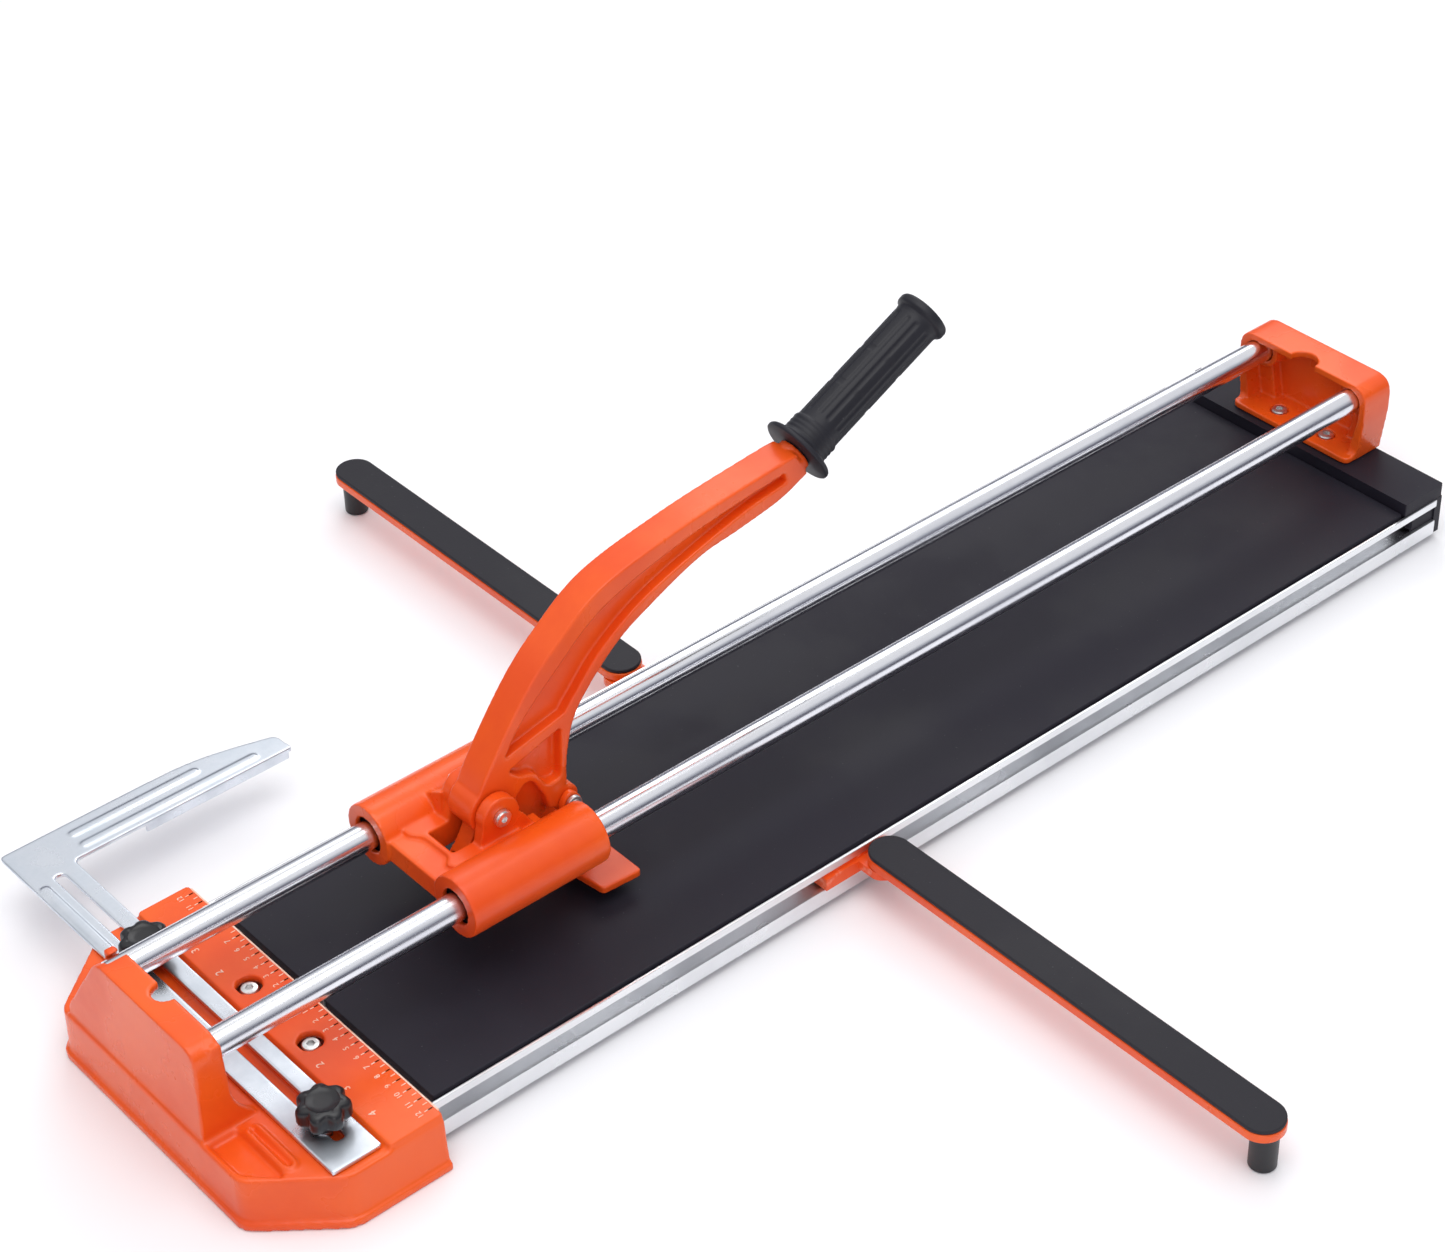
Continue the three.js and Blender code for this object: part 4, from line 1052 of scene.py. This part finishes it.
slot = long_hole(SLOT_START, SLOT_END, CLAMP[1] - SLOT_HALF, CLAMP[1] + SLOT_HALF, SLOT_HALF)
square = casting("square_plate", [
    prism(square_outline(), "Z", SQUARE_LOW, SQUARE_TOP),
    block(-197.5, -195.5, 8, 114, 31, SQUARE_TOP - 0.5),
    emboss(-219, -214, -34, 60), emboss(-206, -201, -34, 96), emboss(-186, -110, -73.6, -68.6),
], [prism(slot, "Z", 30, 45)], voxel=0.75, melt=3)
fit(square, "zinc", "square", "zinc_plate", "sliding_square")

# %% Star knobs
KNOB_LOBES, KNOB_RADIUS, KNOB_STEPS, KNOB_SEAT = 7, 16.0, 16, 42.0
KNOB_CORE, HOLLOW_DEPTH, HOLLOW_ROUNDNESS = 0.6, 0.105 * 1.9, 1.6
KNOB_RINGS = [
    (0.30, 0.0), (0.62, 0.0), (0.66, 0.6), (0.80, 3.2), (0.965, 4.6), (1.0, 6.0), (1.0, 11.0),
    (0.98, 13.2), (0.90, 14.8), (0.78, 15.7), (0.62, 16.0), (0.58, 15.4), (0.30, 15.2),
]


def star_knob():
    sides = KNOB_LOBES * KNOB_STEPS
    solid = bmesh.new()
    rings = []
    for share, height in KNOB_RINGS:
        depth = HOLLOW_DEPTH * max(0.0, (share - KNOB_CORE) / (1 - KNOB_CORE))

        def radius(turn):
            hollow = (0.5 - 0.5 * math.cos(turn * KNOB_LOBES)) ** HOLLOW_ROUNDNESS
            return KNOB_RADIUS * share * (1 - depth * hollow)

        rings.append(ring(solid, radius, height, sides))
    return skinned(solid, rings, sides, ends=True)


for side, sign in SIDES:
    knob = object_of(f"knob_{side}", [moved(star_knob(), (sign * CLAMP[0], CLAMP[1], KNOB_SEAT))])
    smoothed(knob, 50)
    fit(knob, "plastic", f"knob_{side}", "moulded_black", f"star_knob_{side}")

# %% [markdown]
# ## The carriage
#
# Two round housings run on the rails, with a bridge cast between them and two ears for the
# lever's bolt. A window in the bridge lets the lever's nose reach the tile. Like the base,
# it is one skin over simple solids. The bushes inside the housings are moulded rings.

# %% Carriage casting
HOUSING_RADIUS, CARRIAGE_FRONT, CARRIAGE_REAR = 20.0, 71.6, 170.2
PIVOT_Y, PIVOT_Z, EAR_INNER, EAR_OUTER, EAR_RADIUS = 124.0, 112.0, 11.8, 20.0, 13.2
BRIDGE_LOW, BRIDGE_TOP, PIVOT_BORE = 80.0, 95.0, 4.2
PIVOT_AT = (PIVOT_Y, PIVOT_Z)
BUSH_BORE, HOUSING_LIP, LIP_LENGTH = 15.2, 11.6, 3.5


def ear_outline():
    arch = [Vector((PIVOT_Y + EAR_RADIUS * math.cos(a), PIVOT_Z + EAR_RADIUS * math.sin(a)))
            for a in (math.radians(d) for d in range(-10, 191, 10))]
    return [Vector((PIVOT_Y + 24, 84)), Vector((PIVOT_Y + 22, 96))] + arch + [
        Vector((PIVOT_Y - 16, 96)), Vector((PIVOT_Y - 19, 84))]


def carriage_solids():
    solids = [
        prism(rounded([(-28, 73.1), (28, 73.1), (28, 152.2), (-28, 152.2)]), "Z", BRIDGE_LOW, BRIDGE_TOP),
        prism(rounded([(-25, 84, 1), (-18, 84, 2), (-11, 89.5, 3), (12, 90.5, 3), (18, 84.5, 2),
                       (25, 88, 1), (25, 136, 2), (-25, 136, 2)]), "Z", 92, BRIDGE_TOP + 2.6),
    ]
    for sign in (-1, 1):
        low, high = sorted((sign * EAR_INNER, sign * EAR_OUTER))
        web_low, web_high = sorted((sign * 16.5, sign * 30))
        solids += [
            rod("Y", HOUSING_RADIUS, sign * RAIL_X, RAIL_Z, CARRIAGE_FRONT, CARRIAGE_REAR, 96),
            prism(ear_outline(), "X", low, high),
            block(web_low, web_high, 148, 166, BRIDGE_LOW + 2, BRIDGE_TOP - 3),
        ]
    gusset = [Vector(p) for p in ((-18, 92), (-36, 92), (-36, 105), (-18, 116))]
    return solids + [prism(gusset, "Y", 108.5, 114.0)]


def carriage_cuts():
    window = [Vector(p) for p in ((83.5, 76), (83.5, 88), (94, 97), (94, 130), (175, 130), (175, 76))]
    cuts = [prism(window, "X", -EAR_INNER, EAR_INNER), rod("X", PIVOT_BORE, *PIVOT_AT, -30, 30)]
    for sign in (-1, 1):
        rail = (sign * RAIL_X, RAIL_Z)
        cuts += [rod("Y", BUSH_BORE, *rail, CARRIAGE_FRONT + LIP_LENGTH, CARRIAGE_REAR - LIP_LENGTH),
                 rod("Y", HOUSING_LIP, *rail, CARRIAGE_FRONT - 1, CARRIAGE_REAR + 1)]
    return cuts


carriage = casting("carriage_casting", carriage_solids(), carriage_cuts(), voxel=0.9, melt=3)
fit(carriage, "enamel", "carriage", "orange_paint", "carriage")

# %% Bushes, pivot bolt and nut
BUSH_LENGTH, BUSH_INSET, BUSH_RADIUS, BUSH_PLAY, BUSH_EDGE = 22.0, 4.5, 14.7, 0.12, 0.8
BUSH_STARTS = (CARRIAGE_FRONT + BUSH_INSET, CARRIAGE_REAR - BUSH_INSET - BUSH_LENGTH)


def bush(x, start):
    inner, outer, edge, end = RAIL_RADIUS + BUSH_PLAY, BUSH_RADIUS, BUSH_EDGE, BUSH_LENGTH
    profile = [(inner, 0.4), (inner + 0.5, 0), (outer - edge, 0), (outer, edge), (outer, end - edge),
               (outer - edge, end), (inner + 0.5, end), (inner, end - 0.4), (inner, 0.4)]
    return moved(turned_ring(profile, 64), (x, start, RAIL_Z), Matrix.Rotation(-math.pi / 2, 4, "X"))


bushes = object_of("rail_bushes", [bush(sign * RAIL_X, start) for sign in (-1, 1) for start in BUSH_STARTS])
fit(smoothed(bushes, 30), "plastic", "carriage", "moulded_black", "rail_bush_front_left",
    "rail_bush_front_right", "rail_bush_rear_left", "rail_bush_rear_right")

pivot = machined("pivot_bolt_turned", [
    rod("X", 4, *PIVOT_AT, -26, 20.4), rod("X", 5.6, *PIVOT_AT, 20.2, 22.4),
    rod("X", 4.6, *PIVOT_AT, 22.2, 23.4),
], [rod("X", 2.3, *PIVOT_AT, 21.6, 25, 6)], edge=0.35)
fit(pivot, "screw", "carriage", "screw_steel", "pivot_bolt")
nut = machined("pivot_nut_plated", [rod("X", 7, *PIVOT_AT, -25.3, -20.3, 6)],
               [rod("X", PIVOT_BORE, *PIVOT_AT, -30, -10)], edge=0.5)
fit(nut, "screw", "carriage", "screw_steel", "pivot_nut")

# %% [markdown]
# ## The lever
#
# The lever is the part that the hand and the eye go to: a bent arm with a broad back, and
# a hollow in each flank inside a rim of even width. Its shape is two long curves, one up
# the back and one along the belly, so the outline is a smooth run through a few points.
# Below, a barrel turns on the bolt, a lug holds the breaker foot, and a nose carries the
# wheel. A window under the slanting rib lightens the root.

# %% Lever casting
LEVER_HALF, FLANK_DEPTH, BARREL_RADIUS = 11.0, 7.5, 15.6
NOSE_HALF, WEB_HALF, TANG_RADIUS, TANG_LENGTH = 6, 3, 11, 15.5
FOOT_PIN, PIN_RADIUS, WHEEL_AT = (178, 90), 3.5, (97, 60)
GRIP_FOOT, GRIP_TIP = Vector((0, 372.5, 241.8)), Vector((0, 477.6, 294.3))
GRIP_AXIS = (GRIP_TIP - GRIP_FOOT).normalized()
GRIP_TURN = Vector((0, 0, 1)).rotation_difference(GRIP_AXIS).to_matrix().to_4x4()


def lever_outline():
    back = curve_through([(112, 118), (125, 141), (153, 179), (178, 203), (215, 227), (276, 240),
                          (338, 247), (364, 249)])
    belly = curve_through([(372, 232), (350, 223), (318, 217), (287, 212), (250, 197), (221, 181),
                           (192, 152), (182, 126), (179, 98)])
    return back + belly + [Vector((168, 88)), Vector((126, 98))]


def flank_hollow():
    upper = curve_through([(136, 142), (150, 161), (176, 184), (215, 212), (280, 230), (354, 240)])
    lower = curve_through([(356, 233), (316, 226), (250, 206), (212, 184), (190, 162), (181, 152)])
    return upper + lower


def lever_window():
    return rounded([(138, 132, 3), (178, 143.5, 3), (175, 107, 4), (165, 107, 3), (157, 121, 4),
                    (146, 124, 4)])


def lever_arch():
    """The hollow between the barrel and the rear lug."""
    return rounded([(141, 96), (141, 109, 4), (149, 118, 5), (155, 116, 4), (163, 100, 3), (166, 84),
                    (141, 84)])


def lever_nose():
    return rounded([(118, 106), (111, 92, 4), (104, 82, 4), (94.5, 77, 3), (93, 67), (102, 64), (120, 80, 5),
                    (134, 106)])


def lever_solids():
    hollows = []
    floor = LEVER_HALF - FLANK_DEPTH
    for low, high in ((-LEVER_HALF - 1, -floor), (floor, LEVER_HALF + 1)):
        hollows += [prism(flank_hollow(), "X", low, high), prism(lever_window(), "X", low, high)]
    for sign in (-1, 1):
        hollows.append(prism(lever_arch(), "X", *sorted((sign * WEB_HALF, sign * (LEVER_HALF + 1)))))
    tang = lathe([(0, 0), (TANG_RADIUS, 0), (TANG_RADIUS, TANG_LENGTH), (0, TANG_LENGTH)], 48)
    web = [Vector(p) for p in ((128, 102), (170, 96), (168, 80), (142, 81), (128, 90))]
    return [carved([prism(lever_outline(), "X", -LEVER_HALF, LEVER_HALF)], hollows),
            prism(lever_nose(), "X", -NOSE_HALF, NOSE_HALF),
            moved(tang, GRIP_FOOT - GRIP_AXIS * (TANG_LENGTH + 0.7), GRIP_TURN),
            prism(web, "X", -WEB_HALF, WEB_HALF),
            rod("X", BARREL_RADIUS, *PIVOT_AT, -LEVER_HALF, LEVER_HALF),
            rod("X", 9, *FOOT_PIN, -LEVER_HALF, LEVER_HALF)]


lever = casting("lever_casting", lever_solids(), [
    rod("X", 4.3, *PIVOT_AT, -30, 30), rod("X", 3.8, *FOOT_PIN, -30, 30),
    block(-4.4, 4.4, 88, 107, 60, 82.4), rod("X", 2.2, 98, 73, 3, 12),
], voxel=0.85, melt=3)
fit(lever, "enamel", "lever", "orange_paint", "lever")

# %% [markdown]
# ## The grip
#
# The grip is moulded rubber pushed over the lever's tang, with a wide flange to keep the
# hand off the casting, a collar, and a thick rim at the end. Raised panels run along it.
# All of this is one surface of turning, whose radius also depends on the angle.

# %% Grip
GRIP_PANELS, GRIP_SIDES, GRIP_STEPS = 6, 144, 170
PANEL_START, PANEL_END, PANEL_GAPS, GROOVE_DEPTH = 24.0, 105.0, (48.0, 76.0), 0.6
COLLAR_START, COLLAR_END, RIB_PITCH, RIB_DEPTH = 7.5, 16.1, 3.2, 0.35
GRIP_MOUTH = [(10.0, 117.3), (9.0, 116.6)]      # the hollow in the end of the rim
GRIP_PROFILE = [
    (0.0, 22.6), (0.7, 23.4), (2.4, 23.5), (3.4, 22.8), (4.6, 18.2), (6.0, 16.4), (8.0, 15.9),
    (16.6, 15.9), (17.6, 15.7), (18.6, 14.9), (22.0, 14.8), (108.0, 14.8), (110.5, 15.3),
    (111.8, 17.0), (112.8, 17.5), (116.0, 17.5), (117.2, 16.8),
]


def profile_radius(height):
    for (h0, r0), (h1, r1) in zip(GRIP_PROFILE, GRIP_PROFILE[1:]):
        if height <= h1:
            t = max(0.0, (height - h0) / (h1 - h0))
            return r0 + (r1 - r0) * t
    return GRIP_PROFILE[-1][1]


def soft_step(value, low, high):
    t = min(1.0, max(0.0, (value - low) / (high - low)))
    return t * t * (3 - 2 * t)


def band(height, start, end, blur):
    """1 between start and end, fading to 0 over a blur either side."""
    return soft_step(height, start - blur, start + blur) * (1 - soft_step(height, end - blur, end + blur))


def grip_relief(height, turn):
    """How far the panels and the collar's ribs stand in or out of the plain grip."""
    sector = math.tau / GRIP_PANELS
    across = abs((turn % sector) / sector - 0.5) * 2
    groove = (1 - soft_step(across, 0.68, 0.80)) * soft_step(across, 0.34, 0.46)
    gap = max(1 - soft_step(abs(height - middle), 1.4, 2.4) for middle in PANEL_GAPS)
    gap *= 1 - soft_step(across, 0.60, 0.70)
    panels = band(height, PANEL_START, PANEL_END, 1.0) * max(groove, 0.5 * gap)
    ribs = band(height, COLLAR_START, COLLAR_END, 0.5) * (0.5 - 0.5 * math.cos(height * math.tau / RIB_PITCH))
    return -GROOVE_DEPTH * panels - RIB_DEPTH * ribs


def grip_surface():
    solid = bmesh.new()
    rings = []
    for k in range(GRIP_STEPS + 1):
        height = GRIP_PROFILE[-1][0] * k / GRIP_STEPS
        plain = profile_radius(height)
        rings.append(ring(solid, lambda turn: plain + grip_relief(height, turn), height, GRIP_SIDES))
    for radius, height in GRIP_MOUTH:
        rings.append(ring(solid, radius, height, GRIP_SIDES))
    return skinned(solid, rings, GRIP_SIDES, ends=True)


grip = object_of("rubber_grip", [moved(grip_surface(), GRIP_FOOT, GRIP_TURN)])
fit(smoothed(grip, 55), "rubber", "lever", "grip_rubber", "grip")

# %% [markdown]
# ## Breaker foot, pin and wheel
#
# The breaker foot is a cast saddle with a wing each side of the scored line. It hangs on a
# pin behind the lever and stays level. The wheel is a thin hard disc with a sharp edge.

# %% Breaker foot and pin
FOOT_LOW, FOOT_TOP, CHEEK_INNER, CHEEK_OUTER = 45, 50, 11.3, 16
PIN_HALF, PIN_HEAD, PIN_HEAD_OUTER, PIN_HEAD_INNER = 19.6, 5.4, 19, 16.3

wings = rounded([(0, 163), (52, 170, 3), (54, 198, 3), (0, 198), (-54, 198, 3), (-52, 170, 3)])
cheek = rounded([(194, 48), (185, 92, 5), (178, 99, 5), (171, 92, 5), (168, 48)])
foot = casting("breaker_foot_casting", [
    prism(wings, "Z", FOOT_LOW, FOOT_TOP), prism(cheek, "X", CHEEK_INNER, CHEEK_OUTER),
    prism(cheek, "X", -CHEEK_OUTER, -CHEEK_INNER),
], [rod("X", PIN_RADIUS + 0.2, *FOOT_PIN, -30, 30)], voxel=0.7, melt=4)
fit(foot, "enamel", "breaker_foot", "orange_paint", "breaker_foot")

pin = machined("breaker_pin_turned", [
    rod("X", PIN_RADIUS, *FOOT_PIN, -PIN_HALF, PIN_HALF),
    rod("X", PIN_HEAD, *FOOT_PIN, PIN_HEAD_INNER, PIN_HEAD_OUTER),
    rod("X", PIN_HEAD, *FOOT_PIN, -PIN_HEAD_OUTER, -PIN_HEAD_INNER),
], edge=0.5)
fit(pin, "screw", "lever", "screw_steel", "breaker_pin")

# %% Scoring wheel
WHEEL_RADIUS, WHEEL_HALF, WHEEL_BORE, WHEEL_SHOULDER, WHEEL_EDGE = 11.0, 0.8, 2.1, 9.3, 0.05
WHEEL_PROFILE = [
    (WHEEL_BORE, -WHEEL_HALF), (WHEEL_SHOULDER, -WHEEL_HALF), (WHEEL_RADIUS, -WHEEL_EDGE),
    (WHEEL_RADIUS, WHEEL_EDGE), (WHEEL_SHOULDER, WHEEL_HALF), (WHEEL_BORE, WHEEL_HALF),
    (WHEEL_BORE, -WHEEL_HALF),
]

disc = turned_ring(WHEEL_PROFILE, 96)
wheel = object_of("wheel_disc", [moved(disc, (0, *WHEEL_AT), Matrix.Rotation(math.pi / 2, 4, "Y"))])
fit(wheel, "carbide", "scoring_wheel", "wheel_carbide", "scoring_wheel")

# %% [markdown]
# ## Support arms
#
# Each arm is a flat steel bar with round ends and a rubber strip on top, level with the
# table. It turns on a bolt in a shoe that slides in the bed's side channel, and a black
# foot under its tip carries the weight of a wide tile.

# %% Arms
ARM_Y, ARM_PIVOT, ARM_TIP, ARM_HALF, ARM_FOOT = 330.0, 129.0, 441.0, 14.0, 430.0
BAR_LOW, BAR_TOP, STRIP_LOW, STRIP_TOP, STRIP_INSET = 27, 33, 33.2, 36, 0.4
SHOE_FRONT, SHOE_REAR, SHOE_TOP, TAB_LOW, TAB_TOP = 290, 344, 28.2, 20.5, 26.4
POST_RADIUS, FOOT_NECK, POST_LOW_TOP, POST_NECK_TOP = 8.3, 7.4, 26.7, 26.9


def arm_outline(sign, inset=0.0, steps=24):
    half, far = ARM_HALF - inset, ARM_TIP - ARM_HALF
    inner = [(ARM_PIVOT + half * math.cos(a), ARM_Y + half * math.sin(a))
             for a in (math.pi / 2 + math.pi * k / steps for k in range(steps + 1))]
    outer = [(far + half * math.cos(a), ARM_Y + half * math.sin(a))
             for a in (-math.pi / 2 + math.pi * k / steps for k in range(steps + 1))]
    return [Vector((sign * x, y)) for x, y in inner + outer]


def shoe_solids(sign):
    tab = [(112.8, 316), (131, 316, 4), (143, 330, 9), (131, SHOE_REAR, 4), (112.8, SHOE_REAR)]
    return [prism(rounded([(sign * x, y, *r) for x, y, *r in tab]), "Z", TAB_LOW, TAB_TOP),
            block(*sorted((sign * 101.8, sign * 115.5)), SHOE_FRONT, SHOE_REAR, CHANNEL_LOW + 0.2, TAB_TOP),
            block(*sorted((sign * 101.8, sign * 113.2)), SHOE_FRONT, SHOE_REAR, CHANNEL_LOW + 0.2, SHOE_TOP)]


for side, sign in SIDES:
    bar = machined(f"arm_bar_{side}", [prism(arm_outline(sign), "Z", BAR_LOW, BAR_TOP)], edge=0.8)
    fit(bar, "enamel", f"arm_{side}", "orange_paint", f"support_arm_{side}")
    strip = machined(f"arm_rubber_{side}", [prism(arm_outline(sign, STRIP_INSET), "Z", STRIP_LOW, STRIP_TOP)],
                     edge=0.9)
    fit(strip, "strip", f"arm_{side}", "strip_rubber", f"arm_strip_{side}")
    under = (sign * ARM_FOOT, ARM_Y)
    foot_post = machined(f"arm_foot_turned_{side}", [
        rod("Z", POST_RADIUS, *under, 0, POST_LOW_TOP), rod("Z", FOOT_NECK, *under, 1, POST_NECK_TOP),
    ], edge=0.8)
    fit(foot_post, "plastic", f"arm_{side}", "strip_rubber", f"arm_foot_{side}")
    shoe = machined(f"arm_shoe_pressed_{side}", shoe_solids(sign),
                    [rod("Z", 3.2, sign * ARM_PIVOT, ARM_Y, 10, 40, 32)], edge=0.6)
    fit(shoe, "enamel", f"shoe_{side}", "orange_paint", f"arm_shoe_{side}")

# %% [markdown]
# ## Small parts that keep their designed shape
#
# Washers, clamp bolts, set screws, the wheel's holder and the pads under the bed already
# have the right shape. They only need a finish, a merged skin and a hair of bevel.

# %% Finishes for the kept parts
WELD_DISTANCE, KEPT_BEVEL = 0.02, 0.25


def dress_kept_parts():
    shown = {name: node for name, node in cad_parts.items() if not node.hide_render}
    for name, node in shown.items():
        node.data.materials.clear()
        node.data.materials.append(FINISHES["strip" if name.startswith("bed_pad") else "screw"])
        weld = node.modifiers.new("weld", "WELD")
        weld.merge_threshold = WELD_DISTANCE * MM
        bevel = node.modifiers.new("edge", "BEVEL")
        bevel.width, bevel.segments = KEPT_BEVEL * MM, 2
        bevel.limit_method, bevel.angle_limit = "ANGLE", math.radians(40)
    return len(shown)


print("kept parts:", dress_kept_parts())

# %% [markdown]
# ## Sizes
#
# The finished machine has to fill the same box as the design, whose box is printed.

# %% Print the design's box
bpy.context.view_layer.update()
print("cad box:", [[round(v, 4) for v in corner] for corner in cad_box])
